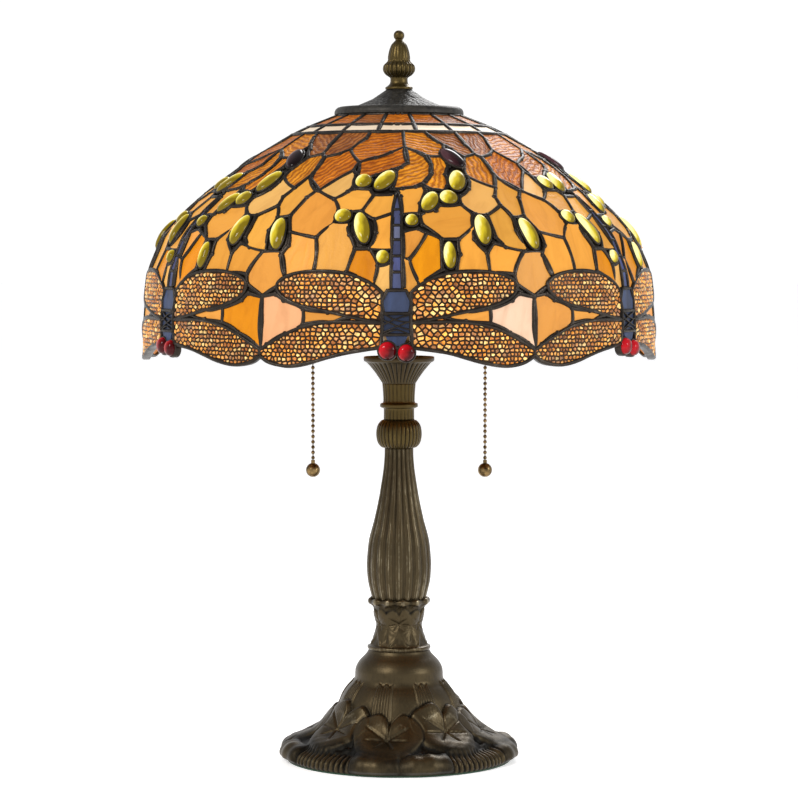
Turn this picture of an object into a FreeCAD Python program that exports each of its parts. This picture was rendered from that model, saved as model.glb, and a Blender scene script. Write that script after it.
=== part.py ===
"""Stained glass table lamp: a leaded dragonfly shade on a turned bronze column.

The frame is millimetres, +Z up, with the origin on the table under the lamp's axis. The front of
the lamp faces -Y. The shade repeats six times round the axis, with a dragonfly facing the front.
"""
import FreeCAD
import Part
import math
import os
import Sketcher
from FreeCAD import Placement, Rotation, Vector

DIMENSIONS = {
    # foot
    "felt_radius": 90.0,
    "felt_thickness": 1.5,
    "foot_radius": 94.0,
    "foot_lip_height": 16.5,
    "foot_wall": 4.0,
    "foot_neck_radius": 35.5,
    "foot_neck_height": 66.0,
    "foot_height": 88.5,
    "foot_top_radius": 24.6,
    # rod, nuts and washers of the 1/8 inch lamp pipe
    "pipe_radius": 5.1,
    "pipe_bore_radius": 3.5,
    "pipe_hole_radius": 5.4,
    "pipe_bottom": 66.0,
    "pipe_top": 336.0,
    "nut_radius": 9.8,
    "nut_height": 6.0,
    "washer_radius": 12.0,
    "washer_thickness": 1.6,
    # column
    "collar_height": 40.8,
    "collar_waist_radius": 18.6,
    "collar_lip_radius": 23.6,
    "column_height": 121.2,
    "column_foot_radius": 21.0,
    "column_belly_radius": 26.0,
    "column_neck_radius": 11.4,
    "knop_height": 23.0,
    "knop_radius": 18.2,
    "neck_height": 29.0,
    "neck_radius": 12.2,
    "neck_ring_radius": 15.0,
    "cup_height": 21.5,
    "cup_radius": 28.0,
    "cup_floor_thickness": 6.0,
    "column_wall": 3.5,
    # lamp-holder cluster; the distances are measured along each holder from the hub's centre
    "hub_centre": 345.0,
    "hub_radius": 15.0,
    "hub_neck_radius": 9.0,
    "holder_tilt": 25.0,
    "nipple_start": 12.0,
    "nipple_end": 43.0,
    "holder_cap_start": 40.0,
    "holder_cap_end": 54.0,
    "holder_end": 97.0,
    "holder_radius": 19.5,
    "holder_skin": 0.8,
    "switch_start": 56.0,
    "switch_end": 77.0,
    "bulb_radius": 30.0,
    "bulb_base_radius": 13.0,
    "bulb_length": 108.0,
    # pull chains
    "chain_offset": 69.0,
    "pull_length": 25.2,
    "pull_radius": 1.0,
    "pull_bottom": 342.6,
    "bead_radius": 1.5,
    "bead_pitch": 4.25,
    "bead_count": 24.0,
    "bead_wire_radius": 0.45,
    "chain_ball_radius": 5.7,
    "chain_ball_centre": 232.8,
    # shade: outer face of the glass, from the top edge to the rim
    "crown_top_radius": 50.5,
    "crown_top": 515.6,
    "cream_top_radius": 71.5,
    "cream_top": 507.3,
    "brown_top_radius": 84.0,
    "brown_top": 501.5,
    "brown_mid_radius": 118.0,
    "brown_mid": 481.0,
    "amber_top_radius": 151.0,
    "amber_top": 456.5,
    "amber_high_radius": 170.0,
    "amber_high": 440.0,
    "amber_low_radius": 188.0,
    "amber_low": 420.5,
    "wing_top_radius": 199.5,
    "wing_top": 393.0,
    "wing_mid_radius": 203.5,
    "wing_mid": 357.0,
    "rim_radius": 203.0,
    "rim_height": 323.0,
    "glass_thickness": 3.0,
    "came_half_width": 1.8,
    "came_proud": 0.8,
    "came_seam": 0.05,
    "filigree_gap": 0.2,
    "filigree_thickness": 0.6,
    # shade cap, its seat on the riser, and the finial
    "cap_radius": 51.5,
    "cap_rim_bottom": 516.9,
    "cap_top": 537.0,
    "cap_top_radius": 9.8,
    "cap_skin": 1.5,
    "riser_bottom": 354.0,
    "riser_top": 544.0,
    "riser_radius": 4.85,
    "finial_height": 47.0,
    "finial_radius": 12.7,
    "finial_ball_radius": 4.3,
}

SECTORS = 6
FRONT = -90.0  # azimuth of the lamp's front, degrees from +X

doc = FreeCAD.newDocument("TableLamp")
sheet = doc.addObject("Spreadsheet::Sheet", "Dims")
for line, (word, number) in enumerate(DIMENSIONS.items(), start=1):
    sheet.set(f"A{line}", word)
    sheet.set(f"B{line}", str(number))
    sheet.setAlias(f"B{line}", word)
doc.recompute()


class Size:
    """A length that holds both its value and the spreadsheet formula that it is bound to."""

    def __init__(self, formula, value):
        self.formula = formula
        self.value = float(value)

    def __add__(self, other):
        other = as_size(other)
        return Size(f"({self.formula} + {other.formula})", self.value + other.value)

    def __sub__(self, other):
        other = as_size(other)
        return Size(f"({self.formula} - {other.formula})", self.value - other.value)

    def __mul__(self, other):
        other = as_size(other)
        return Size(f"({self.formula} * {other.formula})", self.value * other.value)

    def __truediv__(self, other):
        other = as_size(other)
        return Size(f"({self.formula} / {other.formula})", self.value / other.value)

    def __radd__(self, other):
        return as_size(other) + self

    def __rsub__(self, other):
        return as_size(other) - self

    def __rmul__(self, other):
        return as_size(other) * self


def as_size(number):
    """A Size as it is, or a plain number as a Size."""
    return number if isinstance(number, Size) else Size(f"{number:.6f}", number)


def dim(word):
    """The spreadsheet cell with this alias, as a Size."""
    return Size(f"Dims.{word}", getattr(sheet, word))


def root_of_squares(first, second):
    """The hypotenuse of two Sizes."""
    formula = f"sqrt(({first.formula})^2 + ({second.formula})^2)"
    return Size(formula, math.hypot(first.value, second.value))


def bind(thing, **sizes):
    """Binds properties of an object to the spreadsheet."""
    for name, size in sizes.items():
        size = as_size(size)
        setattr(thing, name, size.value)
        thing.setExpression(name, size.formula)
    return thing


parts = {}


def keep(label, thing):
    """Lists an object as a sub-part: its Label names its file."""
    thing.Label = label
    parts[label] = thing
    return thing


def origin_feature(body, role):
    return next(f for f in body.Origin.OriginFeatures if f.Role == role)


def arc_centre(start, end, radius):
    """Centre of the arc from start to end. A positive radius puts it left of the way travelled."""
    half = (end - start) * 0.5
    left = Vector(-half.y, half.x, 0).normalize()
    reach = math.sqrt(max(radius * radius - half.Length**2, 0.0))
    return start + half + left * math.copysign(reach, radius)


def add_edge(sketch, start, end, radius):
    """Adds a line, or an arc where radius isn't None. Gives which end of it is the start."""
    if radius is None:
        sketch.addGeometry(Part.LineSegment(start, end))
        return 1
    centre = arc_centre(start, end, radius.value)
    first, last = (start, end) if radius.value > 0 else (end, start)
    angles = [math.atan2(p.y - centre.y, p.x - centre.x) for p in (first, last)]
    circle = Part.Circle(centre, Vector(0, 0, 1), abs(radius.value))
    sketch.addGeometry(Part.ArcOfCircle(circle, *angles))
    return 1 if radius.value > 0 else 2


def pin_point(sketch, edge, end, across, up):
    """Fixes a sketch point at Sizes across and up from the origin."""
    for kind, axis, size in (("DistanceX", -2, across), ("DistanceY", -1, up)):
        if size.value == 0:
            sketch.addConstraint(Sketcher.Constraint("PointOnObject", edge, end, axis))
            continue
        n = sketch.addConstraint(Sketcher.Constraint(kind, -1, 1, edge, end, size.value))
        sketch.setExpression(f"Constraints[{n}]", size.formula)


def section(body, corners, azimuth=0.0):
    """A closed sketch in the plane through the Z axis at this azimuth, bound to the spreadsheet.

    Each corner is (radius, height), with a third Size where the edge that leaves it is an arc.
    Corners run anticlockwise; a positive arc radius bulges out of the solid, a negative one in.
    """
    sketch = body.newObject("Sketcher::SketchObject", body.Name + "_Section")
    sketch.AttachmentSupport = [(origin_feature(body, "XZ_Plane"), "")]
    sketch.MapMode = "FlatFace"
    sketch.AttachmentOffset = Placement(Vector(), Rotation(Vector(0, 1, 0), azimuth))
    rows = [[as_size(x) for x in corner] for corner in corners]
    points = [Vector(r[0].value, r[1].value, 0) for r in rows]
    count = len(rows)
    starts = []
    for i, row in enumerate(rows):
        radius = row[2] if len(row) > 2 else None
        starts.append(add_edge(sketch, points[i], points[(i + 1) % count], radius))
    for i in range(count):
        after = (i + 1) % count
        joined = Sketcher.Constraint("Coincident", i, 3 - starts[i], after, starts[after])
        sketch.addConstraint(joined)
        pin_point(sketch, i, starts[i], rows[i][0], rows[i][1])
        if len(rows[i]) > 2:
            round_size = rows[i][2]
            n = sketch.addConstraint(Sketcher.Constraint("Radius", i, abs(round_size.value)))
            sketch.setExpression(f"Constraints[{n}]", f"abs({round_size.formula})")
    return sketch


def revolved(body, corners, sweep=360.0, azimuth=0.0):
    """Turns a section about Z through sweep degrees, centred on the azimuth."""
    feature = body.newObject("PartDesign::Revolution", body.Name + "_Turn")
    sketch = section(body, corners, azimuth)
    feature.Profile = sketch
    feature.ReferenceAxis = (sketch, ["V_Axis"])
    feature.Angle = sweep
    feature.Midplane = sweep < 360.0
    body.Tip = feature
    return feature


def turned(label, corners, placement=None):
    """A sub-part that is one turned solid about its own Z axis."""
    body = doc.addObject("PartDesign::Body", "Body")
    revolved(body, corners)
    if placement:
        body.Placement = placement
    return keep(label, body)


def cylinder(radius, height, placement):
    """A Part cylinder with its size bound to the spreadsheet."""
    solid = bind(doc.addObject("Part::Cylinder", "Cylinder"), Radius=radius, Height=height)
    solid.Placement = placement
    return solid


def cut(base, tools):
    """base less each of the tools."""
    for tool in tools:
        result = doc.addObject("Part::Cut", "Cut")
        result.Base = base
        result.Tool = tool
        base = result
    return base


def at_height(z):
    return Placement(Vector(0, 0, z), Rotation())


# ---------------------------------------------------------------- foot


def make_foot():
    """The bell-shaped cast foot, its felt, the pipe's nut and washer, and the cord's bush."""
    felt = dim("felt_thickness")
    lip = dim("foot_lip_height")
    rim = dim("foot_radius")
    wall = dim("foot_wall")
    neck = dim("foot_neck_radius")
    shoulder = dim("foot_neck_height")
    top = dim("foot_height")
    top_radius = dim("foot_top_radius")
    web_underside = top - 9.5
    hole = dim("pipe_hole_radius")
    lip_wall = 7.0
    casting = doc.addObject("PartDesign::Body", "Body")
    revolved(
        casting,
        [
            (hole, web_underside),
            (neck - wall - 12.0, web_underside),
            (neck - wall, shoulder - 6.0),
            (neck * 1.32, lip + 17.0),
            (neck * 1.75, lip + 4.5),
            (rim - lip_wall, lip - 2.5),
            (rim - lip_wall, felt),
            (rim, felt),
            (rim, lip - 5.0, Size("6", 6)),
            (rim - 5.0, lip),
            (neck * 2.1, lip + 4.0, Size("-90", -90)),
            (neck * 1.42, lip + 24.0),
            (neck, shoulder - 4.0, Size("40", 40)),
            (neck - 2.5, top - 12.0),
            (top_radius + 3.0, top - 5.0),
            (top_radius, top),
            (hole, top),
        ],
    )
    cord_hole_height = lip * 0.5
    along_y = Rotation(Vector(1, 0, 0), -90)
    drill_start = Vector(0, rim.value - 3 * lip_wall, cord_hole_height.value)
    drill = cylinder(5.05, 40.0, Placement(drill_start, along_y))
    keep("foot_casting", cut(casting, [drill]))

    bush_start = Vector(0, rim.value - lip_wall - 1.0, cord_hole_height.value)
    bush_length = 7.4
    turned(
        "cord_bush",
        [(3.6, 0.0), (5.0, 0.0), (5.0, bush_length), (3.6, bush_length)],
        Placement(bush_start, along_y),
    )
    turned("felt_pad", [(0.0, 0.0), (dim("felt_radius"), 0.0), (dim("felt_radius"), felt), (0.0, felt)])

    washer_bottom = web_underside - dim("washer_thickness")
    turned(
        "foot_washer",
        [
            (hole, washer_bottom),
            (dim("washer_radius"), washer_bottom),
            (dim("washer_radius"), web_underside),
            (hole, web_underside),
        ],
    )
    hex_nut("foot_nut", washer_bottom.value - dim("nut_height").value, dim("pipe_radius") + 0.05)


def hex_nut(label, bottom, hole_radius):
    """A hexagon nut with its lower face at this height."""
    blank = bind(
        doc.addObject("Part::Prism", "Hexagon"),
        Circumradius=dim("nut_radius"),
        Height=dim("nut_height"),
    )
    blank.Polygon = 6
    blank.Placement = at_height(bottom)
    hole = cylinder(hole_radius, dim("nut_height") + 2.0, at_height(bottom - 1.0))
    keep(label, cut(blank, [hole]))


# ---------------------------------------------------------------- column


def make_column():
    """The threaded pipe and the five castings stacked on it."""
    hole = dim("pipe_hole_radius")
    wall = dim("column_wall")
    bottom = dim("foot_height")

    turned(
        "threaded_pipe",
        [
            (dim("pipe_bore_radius"), dim("pipe_bottom")),
            (dim("pipe_radius"), dim("pipe_bottom")),
            (dim("pipe_radius"), dim("pipe_top")),
            (dim("pipe_bore_radius"), dim("pipe_top")),
        ],
    )

    collar_top = bottom + dim("collar_height")
    waist = dim("collar_waist_radius")
    lip = dim("collar_lip_radius")
    foot_radius = dim("foot_top_radius")
    seat = collar_top - 4.0
    turned(
        "leaf_collar",
        [
            (hole, bottom),
            (foot_radius - 1.0, bottom),
            (foot_radius - 1.0, bottom + 5.0, Size("-70", -70)),
            (waist, bottom + 19.5, Size("-50", -50)),
            (lip, collar_top - 2.0),
            (lip, collar_top),
            (dim("column_foot_radius") + 0.4, collar_top),
            (dim("column_foot_radius") + 0.4, seat),
            (waist - wall, seat),
            (waist - wall, bottom + 8.0),
            (hole, bottom + 8.0),
        ],
    )

    column_top = collar_top + dim("column_height")
    foot = dim("column_foot_radius")
    belly = dim("column_belly_radius")
    neck = dim("column_neck_radius")
    belly_height = collar_top + 26.0
    shoulder_height = collar_top + 78.0
    shoulder = neck + 5.4
    web = column_top - 8.0
    turned(
        "fluted_column",
        [
            (foot - wall, seat),
            (foot, seat),
            (foot, collar_top, Size("48", 48)),
            (belly, belly_height, Size("70", 70)),
            (shoulder, shoulder_height),
            (neck, column_top),
            (hole, column_top),
            (hole, web),
            (neck - wall + 1.5, web),
            (shoulder - wall, shoulder_height - 1.5, Size("-67", -67)),
            (belly - wall, belly_height, Size("-45", -45)),
            (foot - wall, collar_top),
        ],
    )

    knop_top = column_top + dim("knop_height")
    knop_edge = neck + 0.6
    turned(
        "ribbed_knop",
        [
            (hole, column_top),
            (knop_edge, column_top, Size("10.2", 10.2)),
            (dim("knop_radius"), (column_top + knop_top) * 0.5, Size("10.2", 10.2)),
            (knop_edge, knop_top),
            (hole, knop_top),
        ],
    )

    neck_top = knop_top + dim("neck_height")
    ring_middle = knop_top + 11.2
    ring_half = 3.4
    body_radius = dim("neck_radius")
    turned(
        "ringed_neck",
        [
            (hole, knop_top),
            (body_radius - 1.0, knop_top),
            (body_radius - 0.5, ring_middle - ring_half, Size("3.42", 3.42)),
            (body_radius - 0.2, ring_middle + ring_half),
            (body_radius + 1.4, neck_top),
            (hole, neck_top),
        ],
    )

    cup_top = neck_top + dim("cup_height")
    rim = dim("cup_radius")
    turned(
        "flared_cup",
        [
            (hole, neck_top),
            (body_radius + 1.4, neck_top, Size("-60", -60)),
            (rim, cup_top - 4.0),
            (rim - 0.6, cup_top - 1.0),
            (rim - 3.5, cup_top - 1.0),
            (rim - 6.5, cup_top - 5.0),
            (body_radius, neck_top + dim("cup_floor_thickness")),
            (hole, neck_top + dim("cup_floor_thickness")),
        ],
    )


# ---------------------------------------------------------------- lamp holders


def cup_floor():
    """Height of the floor inside the flared cup, which the hub stands on."""
    stacked = dim("foot_height") + dim("collar_height") + dim("column_height")
    return stacked + dim("knop_height") + dim("neck_height") + dim("cup_floor_thickness")


def make_hub():
    """The cast hub that joins the pipe, the riser and the two holder nipples."""
    centre = dim("hub_centre")
    bottom = cup_floor() + 0.05
    stem_length = centre - bottom + 21.0
    ball = bind(doc.addObject("Part::Sphere", "Ball"), Radius=dim("hub_radius"))
    ball.Placement = at_height(centre.value)
    stem = cylinder(dim("hub_neck_radius"), stem_length, at_height(bottom.value))
    bosses = [cylinder(7.5, dim("nipple_start") + 9.0, holder_placement(side)) for side in (-1, 1)]
    cast = doc.addObject("Part::MultiFuse", "HubBlank")
    cast.Shapes = [ball, stem, *bosses]
    through = stem_length + 10.0
    pipe_hole = cylinder(dim("pipe_radius") + 0.05, through, at_height(bottom.value - 5.0))
    side_holes = [
        cylinder(dim("riser_radius") + 0.05, dim("nipple_start") + 12.0, holder_placement(side))
        for side in (-1, 1)
    ]
    keep("cluster_hub", cut(cast, [pipe_hole, *side_holes]))


def holder_placement(side):
    """A holder's own frame: its Z axis leaves the hub's centre upwards, to one side."""
    tilt = 90.0 - dim("holder_tilt").value
    return Placement(Vector(0, 0, dim("hub_centre").value), Rotation(Vector(0, 1, 0), side * tilt))


def ring_section(inner, outer, start, end):
    """The four corners of a plain ring's section."""
    return [(inner, start), (outer, start), (outer, end), (inner, end)]


def make_holder(name, side):
    """One pull-chain lamp holder with its bulb. side is -1 for left and 1 for right."""
    here = holder_placement(side)
    radius = dim("holder_radius")
    skin = dim("holder_skin")
    cap_start = dim("holder_cap_start")
    cap_end = dim("holder_cap_end")
    end = dim("holder_end")
    nipple = dim("riser_radius")

    turned(
        f"{name}_nipple",
        ring_section(dim("pipe_bore_radius"), nipple, dim("nipple_start"), dim("nipple_end")),
        here,
    )
    turned(
        f"{name}_holder_cap",
        [
            (nipple + 0.05, cap_start - 1.0),
            (nipple + 3.5, cap_start - 1.0),
            (nipple + 3.5, cap_start + 2.0, Size("17", 17)),
            (radius, cap_end - 1.0),
            (radius, cap_end),
            (radius - skin * 2.0, cap_end),
            (radius - skin * 2.0, cap_end - 1.5, Size("-15.5", -15.5)),
            (nipple + 2.0, cap_start + 3.4),
            (nipple + 0.05, cap_start + 3.4),
        ],
        here,
    )

    chain_foot = Vector(side * dim("chain_offset").value, 0, dim("pull_bottom").value + 1.2)
    pull_way = cylinder(2.0, dim("pull_length") + 3.0, Placement(chain_foot, Rotation()))
    shell = cut_body(ring_section(radius - skin, radius, cap_end + 0.1, end), here, [pull_way])
    keep(f"{name}_holder_shell", shell)
    liner_face = radius - skin - 0.1
    liner = cut_body(
        ring_section(liner_face - 0.7, liner_face, cap_end + 0.6, end + 1.0), here, [pull_way]
    )
    keep(f"{name}_holder_liner", liner)

    switch_radius = liner_face - 1.6
    screw_shell = dim("bulb_base_radius") + 0.3
    switch = cut_body(
        [
            (0.0, dim("switch_start")),
            (switch_radius, dim("switch_start")),
            (switch_radius, dim("switch_end")),
            (screw_shell + 0.7, dim("switch_end")),
            (screw_shell + 0.7, dim("switch_end") - 1.5),
            (0.0, dim("switch_end") - 1.5),
        ],
        here,
        [pull_way],
    )
    keep(f"{name}_switch_body", switch)
    turned(
        f"{name}_screw_shell",
        ring_section(screw_shell, screw_shell + 0.6, dim("switch_end") - 1.4, end - 2.0),
        here,
    )

    mouth = doc.addObject("PartDesign::Body", "Body")
    revolved(
        mouth,
        [(1.6, 0.0), (4.2, 0.0), (4.2, 1.0, Size("-6", -6)), (2.8, 5.0), (2.8, 16.0), (1.6, 16.0)],
    )
    mouth.Placement = Placement(chain_foot + Vector(0, 0, 6.0), Rotation())
    holder_room = cylinder(radius + 0.05, end, here)
    keep(f"{name}_chain_mouth", cut(mouth, [holder_room]))
    make_bulb(name, here)


def cut_body(corners, placement, tools):
    """A turned solid less the tools, not yet kept as a sub-part."""
    body = doc.addObject("PartDesign::Body", "Body")
    revolved(body, corners)
    body.Placement = placement
    return cut(body, tools)


def make_bulb(name, here):
    """A medium-base bulb seated in its holder: glass, screw base, and insulator with contact."""
    base = dim("bulb_base_radius")
    start = dim("switch_end") - 1.2
    glass_start = start + 24.0
    tip = start + dim("bulb_length")
    globe = dim("bulb_radius")
    globe_centre = tip - globe
    neck = base + 0.8
    thickness = 1.0
    turned(
        f"{name}_bulb_glass",
        [
            (neck - thickness, glass_start),
            (neck, glass_start),
            (neck + 1.0, glass_start + 6.0, Size("-52", -52)),
            (globe, globe_centre, globe),
            (0.0, tip),
            (0.0, tip - thickness, thickness - globe),
            (globe - thickness, globe_centre, Size("53", 53)),
            (neck + 1.0 - thickness, glass_start + 6.0),
        ],
        here,
    )
    turned(
        f"{name}_bulb_base",
        ring_section(base - 0.6, base, start + 5.0, glass_start - 0.1),
        here,
    )
    turned(
        f"{name}_bulb_contact",
        [
            (0.0, start),
            (4.5, start),
            (4.5, start + 2.0),
            (base - 0.7, start + 5.0),
            (base - 0.7, start + 8.0),
            (0.0, start + 8.0),
        ],
        here,
    )


def make_pull_chain(name, side):
    """The pull rod that works the switch, and the bead chain with its end ball."""
    offset = side * dim("chain_offset").value
    pull = dim("pull_radius")
    turned(
        f"{name}_pull_rod",
        [
            (0.0, 0.0),
            (pull + 0.8, 0.0),
            (pull + 1.2, 1.5),
            (pull + 1.2, 4.5),
            (pull, 6.4),
            (pull, dim("pull_length")),
            (0.0, dim("pull_length")),
        ],
        Placement(Vector(offset, 0, dim("pull_bottom").value), Rotation()),
    )

    ball_centre = dim("chain_ball_centre")
    ball = dim("chain_ball_radius")
    collar_top = ball_centre + ball + 2.4
    turned(
        f"{name}_chain_ball",
        [
            (0.0, ball_centre - ball * 0.96),
            (ball * 0.28, ball_centre - ball * 0.96, ball),
            (ball * 0.28, ball_centre + ball * 0.96),
            (1.6, collar_top),
            (0.0, collar_top),
        ],
        Placement(Vector(offset, 0, 0), Rotation()),
    )

    pitch = dim("bead_pitch")
    count = dim("bead_count")
    lowest = collar_top + dim("bead_radius") + 0.3
    body = doc.addObject("PartDesign::Body", "Body")
    wire = body.newObject("PartDesign::AdditiveCylinder", "Wire")
    wire_bottom = dim("bead_radius") + 0.3
    wire_length = pitch * (count - 1) + wire_bottom
    bind(wire, Radius=dim("bead_wire_radius"), Height=wire_length)
    wire.Placement = at_height(-wire_bottom.value)
    bead = body.newObject("PartDesign::AdditiveSphere", "Bead")
    bind(bead, Radius=dim("bead_radius"))
    beads = body.newObject("PartDesign::LinearPattern", "Beads")
    beads.Originals = [bead]
    beads.Direction = (origin_feature(body, "Z_Axis"), [""])
    beads.Occurrences = int(count.value)
    bind(beads, Length=pitch * (count - 1))
    beads.setExpression("Occurrences", count.formula)
    body.Tip = beads
    body.Placement = Placement(Vector(offset, 0, lowest.value), Rotation())
    keep(f"{name}_bead_chain", body)


# ---------------------------------------------------------------- shade

STATIONS = [
    (dim("crown_top_radius"), dim("crown_top")),
    (dim("cream_top_radius"), dim("cream_top")),
    (dim("brown_top_radius"), dim("brown_top")),
    (dim("brown_mid_radius"), dim("brown_mid")),
    (dim("amber_top_radius"), dim("amber_top")),
    (dim("amber_high_radius"), dim("amber_high")),
    (dim("amber_low_radius"), dim("amber_low")),
    (dim("wing_top_radius"), dim("wing_top")),
    (dim("wing_mid_radius"), dim("wing_mid")),
    (dim("rim_radius"), dim("rim_height")),
]
CROWN, CREAM, BROWN_HIGH, BROWN_LOW, AMBER_HIGH, AMBER_MID, AMBER_LOW, WING_HIGH, WING_LOW = range(9)


def row_frame(row):
    """A row's upper station, its unit direction down the slope, and its length, as Sizes."""
    (top_radius, top), (low_radius, low) = STATIONS[row], STATIONS[row + 1]
    length = root_of_squares(low_radius - top_radius, top - low)
    return (top_radius, top), ((low_radius - top_radius) / length, (low - top) / length), length


def row_point(row, along, proud):
    """The point that far down a row's slope and that far out of the glass's outer face."""
    (radius, height), (out, down), _ = row_frame(row)
    return (radius + out * along - down * proud, height + down * along + out * proud)


def row_section(row, outer, inner, start=None, end=None):
    """The four corners of a strip of a row between two distances from the glass's outer face."""
    inset = dim("came_half_width") + dim("came_seam")
    start = inset if start is None else start
    end = row_frame(row)[2] - inset if end is None else end
    return [
        row_point(row, end, inner),
        row_point(row, end, outer),
        row_point(row, start, outer),
        row_point(row, start, inner),
    ]


def panels(label, wedges, sectors=SECTORS):
    """A sub-part of separate wedge solids: each wedge is (section, azimuth from front, sweep)."""
    body = doc.addObject("PartDesign::Body", "Body")
    turns = [revolved(body, corners, sweep, FRONT + azimuth) for corners, azimuth, sweep in wedges]
    pattern = body.newObject("PartDesign::PolarPattern", "Round")
    pattern.Originals = turns
    pattern.Axis = (origin_feature(body, "Z_Axis"), [""])
    pattern.Angle = 360.0
    pattern.Occurrences = sectors
    body.Tip = pattern
    return keep(label, body)


GLASS_OUTER = as_size(0.0)
GLASS_INNER = as_size(0.0) - dim("glass_thickness")
CAME_OUTER = dim("came_proud")
CAME_INNER = as_size(0.0) - dim("glass_thickness") - dim("came_proud")

PITCH = 360.0 / SECTORS
TAIL_SWEEP = 2.6
THORAX_SWEEP = 8.6
CAME_SWEEP = 1.1
WING_TIP = 25.6
LOW_WING_TIP = 29.4
TILES_ROUND = 18
PANELS_ROUND = 12
TAIL_SEGMENTS_PER_ROW = 3


def both_sides(corners, start, end):
    """Two wedges, from start to end degrees, one each side of the dragonfly."""
    middle, sweep = (start + end) / 2, end - start
    return [(corners, middle, sweep), (corners, -middle, sweep)]


def glass(row, **limits):
    return row_section(row, GLASS_OUTER, GLASS_INNER, **limits)


def came(row, **limits):
    return row_section(row, CAME_OUTER, CAME_INNER, **limits)


def make_glass():
    """The glass, as one node for each colour, cut into panels between the cames."""
    tile = 360.0 / TILES_ROUND
    panel = 360.0 / PANELS_ROUND
    first = 19.0
    panels("crown_glass", [(glass(CROWN), first, tile - 3.0)], TILES_ROUND)
    panels("cream_band_glass", [(glass(CREAM), first, tile - 2.4)], TILES_ROUND)
    brown = [(glass(row), panel / 2, panel - CAME_SWEEP * 1.4) for row in (BROWN_HIGH, BROWN_LOW)]
    panels("brown_field_glass", brown, PANELS_ROUND)

    amber_rows = (AMBER_HIGH, AMBER_MID, AMBER_LOW)
    amber_start = TAIL_SWEEP / 2 + CAME_SWEEP
    amber_end = PITCH / 2 - CAME_SWEEP / 2
    panels(
        "amber_field_glass",
        [w for row in amber_rows for w in both_sides(glass(row), amber_start, amber_end)],
    )
    wing_start = THORAX_SWEEP / 2 + 0.3
    upper = both_sides(glass(WING_HIGH), wing_start, WING_TIP)
    lower = both_sides(glass(WING_LOW), wing_start, LOW_WING_TIP)
    panels("wing_glass", upper + lower)
    gap_sweep = PITCH - 2 * WING_TIP - 2 * CAME_SWEEP
    panels("wing_gap_glass", [(glass(WING_HIGH), PITCH / 2, gap_sweep)])

    segments = []
    for row in amber_rows:
        length = row_frame(row)[2] - dim("came_half_width") * 2.0 - 0.1
        step = length / TAIL_SEGMENTS_PER_ROW
        for k in range(TAIL_SEGMENTS_PER_ROW):
            start = step * k + dim("came_half_width") + 0.3
            segments.append((glass(row, start=start, end=start + step - 0.6), 0.0, TAIL_SWEEP))
    panels("dragonfly_tail_glass", segments)
    thorax_end = row_frame(WING_LOW)[2] * 0.62
    thorax = [
        (glass(WING_HIGH), 0.0, THORAX_SWEEP),
        (glass(WING_LOW, end=thorax_end), 0.0, THORAX_SWEEP),
    ]
    panels("dragonfly_body_glass", thorax)


def make_filigree():
    """The pierced metal overlays, just clear of the outer face of the wings."""
    outer = dim("filigree_gap") + dim("filigree_thickness")
    inner = dim("filigree_gap")
    start = THORAX_SWEEP / 2 + 0.8
    edge = dim("came_half_width") + 1.0
    upper = row_section(WING_HIGH, outer, inner, edge, row_frame(WING_HIGH)[2] - edge)
    lower = row_section(WING_LOW, outer, inner, edge, row_frame(WING_LOW)[2] - edge)
    overlays = both_sides(upper, start, WING_TIP - 0.5) + both_sides(lower, start, LOW_WING_TIP - 0.5)
    panels("wing_filigree", overlays)


def make_cames():
    """The lead: a ring at each station and ribs between the panels."""
    half = dim("came_half_width")
    body = doc.addObject("PartDesign::Body", "Body")
    last = len(STATIONS) - 1
    for i in range(len(STATIONS)):
        if i == 0:
            corners = row_section(0, CAME_OUTER, CAME_INNER, as_size(0.0), half)
        elif i == last:
            length = row_frame(last - 1)[2]
            corners = row_section(last - 1, CAME_OUTER, CAME_INNER, length - half, length)
        else:
            above = row_frame(i - 1)[2] - half
            corners = [
                row_point(i - 1, above, GLASS_INNER),
                row_point(i, half, GLASS_INNER),
                row_point(i, half, GLASS_OUTER),
                row_point(i, as_size(0.0), CAME_OUTER),
                row_point(i - 1, above, GLASS_OUTER),
            ]
        revolved(body, corners)
    keep("came_rings", body)

    ribs = []
    for k in range(TILES_ROUND // SECTORS):
        joint = 9.0 + k * 360.0 / TILES_ROUND
        ribs += [(came(CROWN), joint, 2.9), (came(CREAM), joint, 2.3)]
    for k in range(PANELS_ROUND // SECTORS):
        joint = k * 360.0 / PANELS_ROUND
        ribs += [(came(row), joint, CAME_SWEEP * 1.3) for row in (BROWN_HIGH, BROWN_LOW)]
    for row in (AMBER_HIGH, AMBER_MID, AMBER_LOW):
        ribs += both_sides(came(row), TAIL_SWEEP / 2 + 0.05, TAIL_SWEEP / 2 + CAME_SWEEP - 0.05)
        ribs.append((came(row), PITCH / 2, CAME_SWEEP - 0.1))
    ribs += both_sides(came(WING_HIGH), WING_TIP + 0.05, WING_TIP + CAME_SWEEP - 0.05)
    ribs.append((came(WING_LOW), PITCH / 2, 1.1))
    panels("came_ribs", ribs)


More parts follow.
